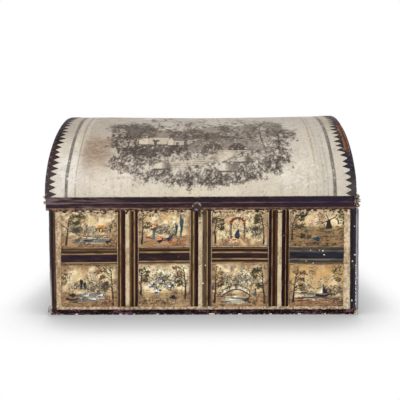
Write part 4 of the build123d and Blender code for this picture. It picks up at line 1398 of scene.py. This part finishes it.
def edging(name, stops, lie, seed, chips=(206, 190, 164), wear=0.75, width=0.5):
    """Glazed dark paper with printed lines across its width, rubbed along the way that it lies."""
    look = Shader(name, None, GLOSS, seed)
    look.stripes(look.marks("across"), stops)
    look.patches(
        (1.8, 0.48, 0.64, 4, (18, 8, 10), 0.6, lie), (2.4, 0.56, 0.72, 4, (116, 86, 66), 0.36, lie),
        (16, 0.5, 0.72, 4, (74, 50, 52), 0.1), (0.9, 0.68, 0.74, 2, (150, 130, 110), 0.45),
        (3.0, 0.745, 0.77, 3, chips, 0.9),
    )
    worn_edges(look, chips, width, wear, 0.56, 0.66, 3.5)
    look.rough(look.noise(6, 0.35, 0.7, 3), GLOSS - 0.1, GLOSS + 0.18)
    look.bump(0.06, 0.8)
    look.bump(0.25, 6, detail=2)
    return look


def mirrored(stops):
    """The same bands of colour the other way round."""
    ends = [at for at, _ in stops[1:]] + [1.0]
    return [(1 - end, colour) for end, (_, colour) in zip(ends, stops)][::-1]


def rubbed_corner(look):
    """Pale lower right corner, outside a quarter circle, where the dark face has rubbed off."""
    beyond = look.span(look.away(147.8, 6.2), 4.3, 4.8)
    on_corner = look.both(look.past("X", 148.6, 149.4), look.past("Y", -93, -98), look.past("Z", 6.2, 5))
    look.lay(look.both(beyond, on_corner), RUBBED_PALE, 0.9)


# Rim band of the lid
lid_low, lid_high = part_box("rim_band")
lid_ring = ring((lid_high.x - lid_low.x) / 2 / MM - PAPER, RIM_HALF_Y, RIM_TURN, LID_MIDDLE, ARCH_Y)
turn_end = lid_ring.front + lid_ring.corner
side_end = turn_end + lid_ring.flank
rim_lines = graded(
    (-side_end, -turn_end, 4), (-turn_end, -lid_ring.front, 0.4),
    (-lid_ring.front, lid_ring.front, 1.5), (lid_ring.front, turn_end, 0.4), (turn_end, side_end, 4),
)
rim_heights = steps(RIM_LOW, RIM_TOP, 0.8)
rim = paper("rim_band_worn", lid_ring, rim_heights, rim_lines, PAPER, 0.22, 0.06, 31, cell=3, grain=5)
look = edging("rim_band", RIM_STOPS, LEVEL, 33)
look.patches((5, 0.42, 0.6, 4, (124, 104, 106), 0.7, LEVEL), where=look.past("X", -70, -120))
look.patches((3, 0.58, 0.7, 4, (100, 68, 72), 0.4), (2.6, 0.5, 0.6, 3, (34, 14, 26), 0.5, LEVEL))
look.patches((2.6, 0.46, 0.58, 3, (166, 128, 100), 0.75, (0.5, 0.5, 1)), where=look.past("Z", 107.8, 106))
# Painted shadow along the rim's lower edge: dark gaps between the frayed bits.
look.patches((3.2, 0.48, 0.54, 2, (24, 8, 10), 0.9), where=look.past("Z", 106.8, 105.6))
look.lay(look.both(look.past("X", 50, 100), look.past("Z", 106.6, 108.2)), (30, 22, 46), 0.5)
# Painted shadow: a darker warm hem towards the right.
look.lay(look.both(look.past("X", 20, 80), look.past("Z", 108.2, 106.6)), (66, 34, 22), 0.4)
settle(rim, "lid", look.done(0.14), "dark_paper", "rim_band")

# Bottom edging
body_ring = ring(BODY_HALF_X, BODY_HALF_Y, BODY_TURN)
flank_start = body_ring.front + body_ring.corner
flank_end = flank_start + body_ring.flank
round_length = flank_end + body_ring.corner + body_ring.front
bottom_low, bottom_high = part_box("bottom_edging")
bottom_lines = graded(
    (-round_length, -body_ring.front, 3), (-body_ring.front, body_ring.front, 1.2),
    (body_ring.front, round_length, 3),
)
bottom = paper(
    "bottom_edging_worn", body_ring, steps(bottom_low.z / MM, bottom_high.z / MM, 0.5), bottom_lines,
    PAPER, 0.25, 0.2, 41, cell=3, grain=4, edges=(1, 1, 0, 0),
)
look = edging("bottom_edging", BOTTOM_STOPS, LEVEL, 43, (222, 212, 192), 0.95, 0.6)
look.patches(
    (1.8, 0.5, 0.62, 3, (112, 76, 98), 0.85, LEVEL), (5, 0.48, 0.56, 3, (12, 2, 8), 0.9, LEVEL),
    (1.6, 0.58, 0.64, 2, (112, 82, 74), 0.6), (2.2, 0.52, 0.58, 2, (10, 1, 6), 0.85),
)
look.patches((2.4, 0.54, 0.62, 3, (206, 184, 146), 0.8), where=look.past("Z", 1.6, 0.8))
for x, long in SLIVERS:
    look.lay(look.spot(x, 0.7 + 0.1 * (x % 3), 0.75, long), (224, 216, 200), 0.95)
rubbed_corner(look)
settle(bottom, "body", look.done(0.08), "dark_paper", "bottom_edging")


# Corner edgings
def corner_edging(row, end):
    """Dark paper bent round one upright corner of the body, with painted sheen where it turns round the
    rounded corner.
    """
    node = f"corner_edging_{row}_{end}"
    low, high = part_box(node)
    side, at_back = (-1 if end == "left" else 1), row == "back"
    ends = (CORNER_INNER[end], flank_start + CORNER_FLANK)
    if at_back:
        ends = (flank_end - CORNER_FLANK, round_length - CORNER_INNER[end])
    piece = paper(
        node + "_worn", lambda U, V: body_ring(V, U), steps(*sorted(side * at for at in ends), 0.5),
        steps(low.z / MM, high.z / MM, 1.2), PAPER, 0.22, 0.2, 50 + side + 5 * at_back,
        cell=2, grain=4, edges=(1, 1, 0, 0.5),
    )
    stops = LEFT_STOPS_WITH_SHEEN if end == "left" else RIGHT_STOPS_WITH_SHEEN
    stops = mirrored(stops) if at_back else stops
    look = edging(node, stops, UPRIGHT, 50 + 3 * side + at_back, (214, 206, 200), 0.75, 0.4)
    if row == "front" and end == "left":
        look.lay(look.both(look.past("Z", 60, 10), look.past("X", -150.8, -152.6)), (206, 202, 198), 0.9)
    if row == "front" and end == "right":
        for x, z, radius in CORNER_CHIPS:
            look.lay(look.spot(x, z, radius), (214, 210, 214), 0.9)
        look.patches((1.8, 0.48, 0.56, 2, (220, 216, 218), 0.9), where=look.box(150.0, 150.7, 8, 50, 0.2))
        rubbed_corner(look)
    settle(piece, "body", look.done(0.12), "dark_paper", node)


for end in ("left", "right"):
    for row in ("front", "back"):
        corner_edging(row, end)

# Strips on the front
BOW_AT, BOW_RISE = (-115, -40, 35, 112), (0.4, 1.0, 1.4, 0.4)
GOLD = (152, 126, 88)
DULL_GOLD = (110, 88, 58)
BROWN = (64, 36, 14)
UMBER = (42, 17, 8)
PLUM = (36, 10, 24)
BLACK = (22, 5, 12)
UPRIGHTS = (
    ((0, BROWN), (0.28, GOLD), (0.42, BROWN), (0.58, UMBER), (0.76, PLUM), (0.93, BROWN)),
    ((0, (108, 84, 52)), (0.20, BROWN), (0.33, UMBER), (0.45, BROWN), (0.53, GOLD), (0.66, BROWN),
     (0.78, PLUM)),
    ((0, (80, 56, 32)), (0.18, (66, 42, 14)), (0.32, GOLD), (0.46, (98, 72, 50)), (0.55, UMBER),
     (0.72, BLACK)),
    ((0, (102, 82, 62)), (0.12, (80, 68, 50)), (0.38, (86, 64, 56)), (0.52, GOLD), (0.64, UMBER),
     (0.80, (52, 40, 32))),
    ((0, PLUM), (0.10, BLACK), (0.32, (134, 106, 68)), (0.44, UMBER), (0.74, (78, 54, 32))),
    ((0, BLACK), (0.12, BLACK), (0.51, (146, 110, 70)), (0.60, (38, 14, 8))),
)
CROSSES = (
    ((0, BROWN), (0.06, GOLD), (0.14, (42, 26, 36)), (0.60, GOLD), (0.69, BROWN), (0.82, (104, 86, 68)),
     (0.88, BROWN), (0.94, DULL_GOLD)),
    ((0, DULL_GOLD), (0.06, BROWN), (0.11, GOLD), (0.19, (40, 24, 28)), (0.66, GOLD), (0.76, UMBER),
     (0.84, BROWN), (0.90, DULL_GOLD), (0.96, BROWN)),
    ((0, GOLD), (0.08, BROWN), (0.14, UMBER), (0.22, GOLD), (0.31, (42, 24, 28)), (0.62, GOLD), (0.71, BROWN),
     (0.77, UMBER), (0.88, DULL_GOLD), (0.95, BROWN)),
    ((0, (88, 70, 58)), (0.10, (62, 54, 48)), (0.21, (112, 110, 92)), (0.31, (34, 34, 46)),
     (0.68, (58, 56, 54)), (0.74, (100, 94, 88)), (0.81, (76, 69, 60))),
)
STRIP_CHIPS = (
    (118.0, 63.8, 0.75), (119.3, 60.0, 0.6), (108.5, 51.6, 0.55), (106.0, 64.5, 0.4), (114.5, 64.4, 0.4),
    (101.5, 53.8, 0.4), (-0.5, 32.0, 0.7), (2.0, 50.0, 0.5), (5.4, 8.6, 0.5),
)


def laid(U, V):
    """Place on the front, where the papers were laid by eye: they lean and bow up between the columns."""
    points, normal = flat(-1, -BODY_HALF_Y)(U, V)
    points[..., 2] += np.interp(U, BOW_AT, BOW_RISE) * np.sin(np.pi * unit((V - 8) / 96))
    points[..., 0] += 0.4 - 0.003 * U + 0.010 * (V - 50)
    return points, normal


def on_front(node, ending, u_size, v_size, thick, ragged, cockle, seed, level=False, **settings):
    """Sheet over the box of a node on the front. The width of a level sheet is counted upward."""
    low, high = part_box(node)
    u = steps(low.x / MM, high.x / MM, u_size)
    v = steps(low.z / MM, high.z / MM, v_size)
    if level:
        return paper(node + ending, lambda U, V: laid(V, U), v, u, thick, ragged, cockle, seed, **settings)
    return paper(node + ending, laid, u, v, thick, ragged, cockle, seed, **settings)


def strips(kind, rows, lie, sizes, lift, seed, worn_tone, specular):
    """Strips with gold lines along them, with white chips where they have lost their face."""
    for i, stops in enumerate(rows, start=1):
        node = f"{kind}_strip_{i}"
        low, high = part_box(node)
        piece = on_front(
            node, "_lined", *sizes, PAPER + lift, 0.12, 0.12, seed + i, lie == LEVEL, cell=3, grain=7)
        look = edging(node, stops, lie, seed + i, worn_tone, 0.5, 0.25)
        for x, z, radius in STRIP_CHIPS:
            if low.x < x * MM < high.x and low.z < z * MM < high.z:
                look.lay(look.spot(x, z, radius), (238, 234, 226), 0.95)
        settle(piece, "body", look.done(specular), "strip_paper", node)


strips("upright", UPRIGHTS, UPRIGHT, (0.7, 1.6), 0.2, 60, (190, 170, 140), 0.09)
strips("cross", CROSSES, LEVEL, (1.6, 0.7), 0.1, 70, (196, 178, 150), 0.10)

# Picture papers
for i in range(8):
    node = ("upper", "lower")[i // 4] + f"_print_{i % 4 + 1}"
    low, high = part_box(node)
    sheet = picture(i, (high.x - low.x) / MM, (high.z - low.z) / MM)
    piece = on_front(
        node, "_coloured", 0.5 * FINE, 0.5 * FINE, PAPER, 0.15, 0.1, 80 + i, cell=12,
        paint=lambda U, V: sheet.read(U - low.x / MM, V - low.z / MM, PRINT_INK),
    )
    look = Shader(node, None, 0.6, 80 + i)
    look.painted()
    aged(look, (150, 118, 82), 0.12, (80, 58, 42), 0.3, (222, 202, 168), 0.08)
    worn_edges(look, (96, 72, 54), 0.5, 0.6, 0.45, 0.6, 5)
    # Painted shadow under the rim, over pale bits of paper.
    painted_rim_shadow(look)
    settle(piece, "body", look.done(), "picture_paper", node)

# Cloth hinge
THREAD_PITCH, CLOTH = 0.9, 0.5
BEND_LOW, BEND_HIGH = 103.5, 106.5
body_leaf, lid_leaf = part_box("hinge_cloth_body"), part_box("hinge_cloth_lid")
hinge_low, hinge_high = body_leaf[0].z / MM, lid_leaf[1].z / MM
hinge_left, hinge_right = body_leaf[0].x / MM, body_leaf[1].x / MM
heights = graded((hinge_low, BEND_LOW, 1), (BEND_LOW, BEND_HIGH, 0.25), (BEND_HIGH, hinge_high, 1))
across = steps(hinge_left, hinge_right, 4)
hinge = paper("hinge_cloth", flat(1, BODY_HALF_Y), across, heights, CLOTH, 0.15, 0.1, 91, cell=1)
cloth = Shader("hinge_cloth", (56, 44, 42), 0.75, 91)
for letter in "XZ":
    wave = cloth.math("SINE", cloth.math("MULTIPLY", cloth.axis(letter), 2 * math.pi / (THREAD_PITCH * MM)))
    cloth.lay(cloth.span(wave, -0.4, 1.0), (84, 68, 62), 0.35)
    cloth.heights.append((cloth.span(wave, -1, 1), 0.12))
cloth.patches((12, 0.5, 0.7, 4, (100, 86, 76), 0.45), (1.5, 0.62, 0.7, 3, (130, 116, 102), 0.5))
worn_edges(cloth, (140, 126, 110), 0.8, 0.6, 0.45, 0.6, 3)
settle(hinge, None, cloth.done(sheen=0.2), "hinge_cloth", "hinge_cloth_body", "hinge_cloth_lid")
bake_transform(hinge)

# Clasp
LOBES, LOBE_SIZE, TURNS = 14, 0.5, 96
# Painted highlights on the rosette: x and z from the pivot, radius, long and colour of each.
PAINTED_GLINTS = (
    (2.7, 3.2, 0.9, 1.0, (176, 168, 166)), (-3.9, 0.8, 0.8, 0.8, (150, 134, 124)),
    (4.0, 1.4, 0.8, 0.8, (128, 112, 104)), (-0.5, -2.6, 0.8, 1.9, (138, 124, 142)),
)
ROSETTE_PROFILE = (
    (4.55, 0.0, 0), (4.7, 0.3, 0), (4.68, 0.75, 1), (4.5, 1.05, 1), (4.2, 1.22, 1), (3.85, 1.15, 1),
    (3.6, 0.85, 0.5), (3.45, 0.62, 0), (3.1, 0.52, 0), (2.8, 0.62, 0), (2.62, 0.8, 0), (2.4, 0.84, 0),
    (2.2, 0.7, 0), (1.9, 0.6, 0), (0.9, 0.58, 0),
)
rosette_low, rosette_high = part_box("clasp_rosette")
pivot_x = (rosette_low.x + rosette_high.x) / 2 / MM
pivot_z = (rosette_low.z + rosette_high.z) / 2 / MM
rosette_back = rosette_high.y / MM

metal = Shader("dark_metal", (66, 50, 36), 0.42, 95)
metal.patches((1.6, 0.45, 0.65, 4, (40, 28, 20), 0.8), (1.1, 0.6, 0.7, 3, (96, 70, 48), 0.6))
rings = metal.away(pivot_x, pivot_z)
beads_lit_and_shaded = metal.both(metal.span(rings, 2.9, 3.4), metal.noise(1.5, 0.44, 0.54, 2))
# Painted highlight on the upper arc of the bead ring, and painted shade on its lower arc.
metal.lay(metal.both(beads_lit_and_shaded, metal.past("Z", pivot_z - 1.5, pivot_z + 2)), (138, 124, 110), 0.9)
metal.lay(metal.both(beads_lit_and_shaded, metal.past("Z", pivot_z + 1, pivot_z - 1)), (24, 12, 12), 0.8)
metal.lay(metal.span(rings, 2.6, 1.8), (40, 28, 22), 0.8)
for x, z, radius, long, tone in PAINTED_GLINTS:
    metal.lay(metal.spot(pivot_x + x, pivot_z + z, radius, long), tone, 0.95)
metal.bump(0.06, 0.5)
METAL_LOOK = metal.done(0.4, metallic=0.35)

brass = Shader("tarnished_brass", (64, 48, 22), 0.45, 97)
# Dark tarnish, and lighter flecks that are painted highlights.
brass.patches((1.8, 0.45, 0.6, 4, (30, 20, 8), 0.85), (0.9, 0.6, 0.68, 3, (140, 112, 66), 0.5))
brass.bump(0.05, 0.5)
dress(brass.done(metallic=0.4), "catch_hook", "catch_stud")


def turned(name, x, z, base_y, profile):
    """Piece turned about an axis along Y: profile lists (radius, distance out from base_y, lobed share)."""
    points, faces = [], []
    for radius, out, share in profile:
        for k in range(TURNS):
            a = 2 * math.pi * k / TURNS
            swell = share * LOBE_SIZE * (0.5 + 0.5 * math.cos(LOBES * a))
            r = radius * (1 + 0.25 * swell)
            points.append((x + r * math.cos(a), base_y - out * (1 + 0.6 * swell), z + r * math.sin(a)))
    last = (len(profile) - 1) * TURNS
    for i in range(0, last, TURNS):
        for k in range(TURNS):
            n = (k + 1) % TURNS
            faces.append((i + k, i + n, i + TURNS + n, i + TURNS + k))
    faces.append(tuple(range(TURNS))[::-1])
    faces.append(tuple(range(last, last + TURNS)))
    return make_mesh(name, np.array(points) * MM, faces)


rosette = turned("clasp_rosette_beaded", pivot_x, pivot_z, rosette_back, ROSETTE_PROFILE)
settle(rosette, "lid", METAL_LOOK, "dark_metal", "clasp_rosette")
dress(METAL_LOOK, "clasp_pin")

# Frayed paper at the corners
GREYISH = ((212, 209, 204), (140, 130, 124), (236, 233, 228))
WHITISH = ((206, 202, 196), (168, 160, 150), (96, 82, 78))
BEIGE = ((204, 194, 172), (158, 140, 116), (222, 218, 206))
RUDDY = ((138, 112, 92), (78, 56, 44), (204, 194, 178))
FLAKE_HALF, FLAKE_CURL = 0.15, 0.12
FLAKE_SIZES, FLAKE_SIDES = (1.0, 2.3), (5, 8)


def frayed(name, low, high, count, seed, colours, body):
    """Torn flakes of paper that stand out at a corner, as small bent plates in one mesh."""
    rng = np.random.default_rng(seed)
    low, high = np.array(low), np.array(high)
    points, faces = [], []
    for k in range(count):
        middle = low + (high - low) * rng.random(3)
        out = rng.normal(size=3) * 0.55 + (0.8 * np.sign(middle[0]), -0.6, 0.1)
        out /= np.linalg.norm(out)
        first = np.cross(out, rng.normal(size=3))
        first /= np.linalg.norm(first)
        second = np.cross(out, first)
        sides = int(rng.integers(*FLAKE_SIDES))
        size = rng.uniform(*FLAKE_SIZES)
        start = len(points)
        for level in (-FLAKE_HALF, FLAKE_HALF):
            for j in range(sides):
                a = 2 * math.pi * j / sides
                r = size * (0.65 + 0.35 * math.cos(2 * a + k)) * (0.8 + 0.4 * ((j * 7 + k) % 3) / 2)
                within = r * math.cos(a) * first + r * math.sin(a) * second
                points.append(middle + within + (level + FLAKE_CURL * r * r) * out)
        near = [start + j for j in range(sides)]
        far = [start + sides + j for j in range(sides)]
        faces += [near[::-1], far]
        for j in range(sides):
            n = (j + 1) % sides
            faces.append([near[j], near[n], far[n], far[j]])
    made = make_mesh(name, np.array(points) * MM, faces, smooth=False)
    look = Shader(name, colours[0], 0.8, seed)
    look.patches((1.6, 0.42, 0.54, 3, colours[1], 0.9), (1.3, 0.54, 0.62, 2, colours[2], 0.9))
    settle(made, body, look.done(), None)


frayed("frayed_lid_left", (-158.4, -100.5, 112.0), (-156.0, -96.0, 118.8), 24, 101, WHITISH, "lid")
frayed("frayed_lid_right", (148.6, -102.4, 106.5), (153.2, -98.0, 119.2), 100, 102, RUDDY, "lid")
frayed("frayed_foot_left", (-155.6, -101.0, 2.0), (-151.8, -97.0, 8.5), 44, 103, GREYISH, "body")
frayed("frayed_foot_right", (149.4, -101.2, 1.6), (151.6, -99.6, 5.0), 9, 104, BEIGE, "body")

# Floor, light and camera
FLOOR_HALF, FLOOR_DROP = 4.0, 0.0003
FLOOR_SHADE = 0.075
SHADE_STOPS = ((0.62, 0.53), (0.72, 0.62), (0.80, 0.74), (0.88, 0.90))
WORLD_LEVEL = 0.62
PHOTO_WIDTH, FOCAL_PIXELS, SENSOR = 400, 467.2, 36
CAMERA_PLACE = (0.0038, -0.560, 0.1686)
scene = bpy.context.scene


def camera_mix(tree, plain, seen):
    """The seen shader for camera, mirror and glass rays, and the plain one for all others."""
    rays = tree.node("ShaderNodeLightPath").outputs
    straight = tree.math("MAXIMUM", rays["Is Camera Ray"], rays["Is Glossy Ray"])
    mix = tree.node("ShaderNodeMixShader")
    tree.link(tree.math("MAXIMUM", straight, rays["Is Transmission Ray"]), mix.inputs[0])
    tree.link(plain, mix.inputs[1])
    tree.link(seen, mix.inputs[2])
    return mix.outputs[0]


floor = bpy.data.objects.new("floor", bpy.data.meshes.new("floor"))
corners = [(x * FLOOR_HALF, y * FLOOR_HALF, -FLOOR_DROP) for x, y in ((-1, -1), (1, -1), (1, 1), (-1, 1))]
floor.data.from_pydata(corners, [], [(0, 1, 2, 3)])
scene.collection.objects.link(floor)
floor_material = bpy.data.materials.new("pale_floor")
tree = Tree(floor_material)
out = tree.node("ShaderNodeOutputMaterial")
diffuse = tree.node("ShaderNodeBsdfDiffuse")
diffuse.inputs[0].default_value = (0.8, 0.8, 0.8, 1)
# Seen by the camera the floor glows white, and darker near the trunk: a contact shadow painted from ambient
# occlusion.
near = tree.node("ShaderNodeAmbientOcclusion", samples=16)
near.inputs["Distance"].default_value = FLOOR_SHADE
ramp = tree.node("ShaderNodeValToRGB")
tree.link(near.outputs["AO"], ramp.inputs[0])
elements = ramp.color_ramp.elements
elements[0].position, elements[0].color = 0.52, (0.44, 0.44, 0.445, 1)
elements[1].position, elements[1].color = 0.97, (1, 1, 1, 1)
for place, value in SHADE_STOPS:
    elements.new(place).color = (value, value, value * 1.005, 1)
glow = tree.node("ShaderNodeEmission")
tree.link(ramp.outputs[0], glow.inputs[0])
tree.link(camera_mix(tree, diffuse.outputs[0], glow.outputs[0]), out.inputs[0])
floor.data.materials.append(floor_material)

scene.world = bpy.data.worlds.new("studio")
tree = Tree(scene.world)
out = tree.node("ShaderNodeOutputWorld")
lights = [tree.node("ShaderNodeBackground") for _ in range(2)]
for light, level in zip(lights, (WORLD_LEVEL, 1.0)):
    light.inputs[0].default_value = (1, 1, 1, 1)
    light.inputs[1].default_value = level
tree.link(camera_mix(tree, lights[0].outputs[0], lights[1].outputs[0]), out.inputs[0])


def softbox(name, place, aim, size, power):
    """Large square lamp that faces a point."""
    lamp = bpy.data.lights.new(name, "AREA")
    lamp.size = size
    lamp.energy = power
    made = bpy.data.objects.new(name, lamp)
    made.location = place
    made.rotation_mode = "QUATERNION"
    made.rotation_quaternion = (Vector(aim) - Vector(place)).to_track_quat("-Z", "Y")
    scene.collection.objects.link(made)


softbox("front_soft", (-0.5, -1.9, 1.1), (0, 0, 0.1), 1.2, 22)
softbox("top_soft", (0.4, -0.5, 1.9), (0, 0, 0.1), 1.0, 5)

camera = bpy.data.objects.new("camera", bpy.data.cameras.new("camera"))
scene.collection.objects.link(camera)
pitch, yaw, roll = math.radians(1.88), math.radians(0.80), math.radians(-0.40)
ahead = Vector((-math.sin(yaw) * math.cos(pitch), math.cos(yaw) * math.cos(pitch), -math.sin(pitch)))
level_right = Vector((math.cos(yaw), math.sin(yaw), 0))
level_up = level_right.cross(ahead)
right = math.cos(roll) * level_right + math.sin(roll) * level_up
upward = -math.sin(roll) * level_right + math.cos(roll) * level_up
turn = Matrix((right, upward, -ahead)).transposed().to_4x4()
camera.matrix_world = Matrix.Translation(CAMERA_PLACE) @ turn
camera.data.sensor_width = SENSOR
camera.data.lens = FOCAL_PIXELS / PHOTO_WIDTH * SENSOR
camera.data.shift_y = -0.0982
camera.data.clip_start = 0.01
scene.camera = camera
scene.view_settings.view_transform = "Standard"
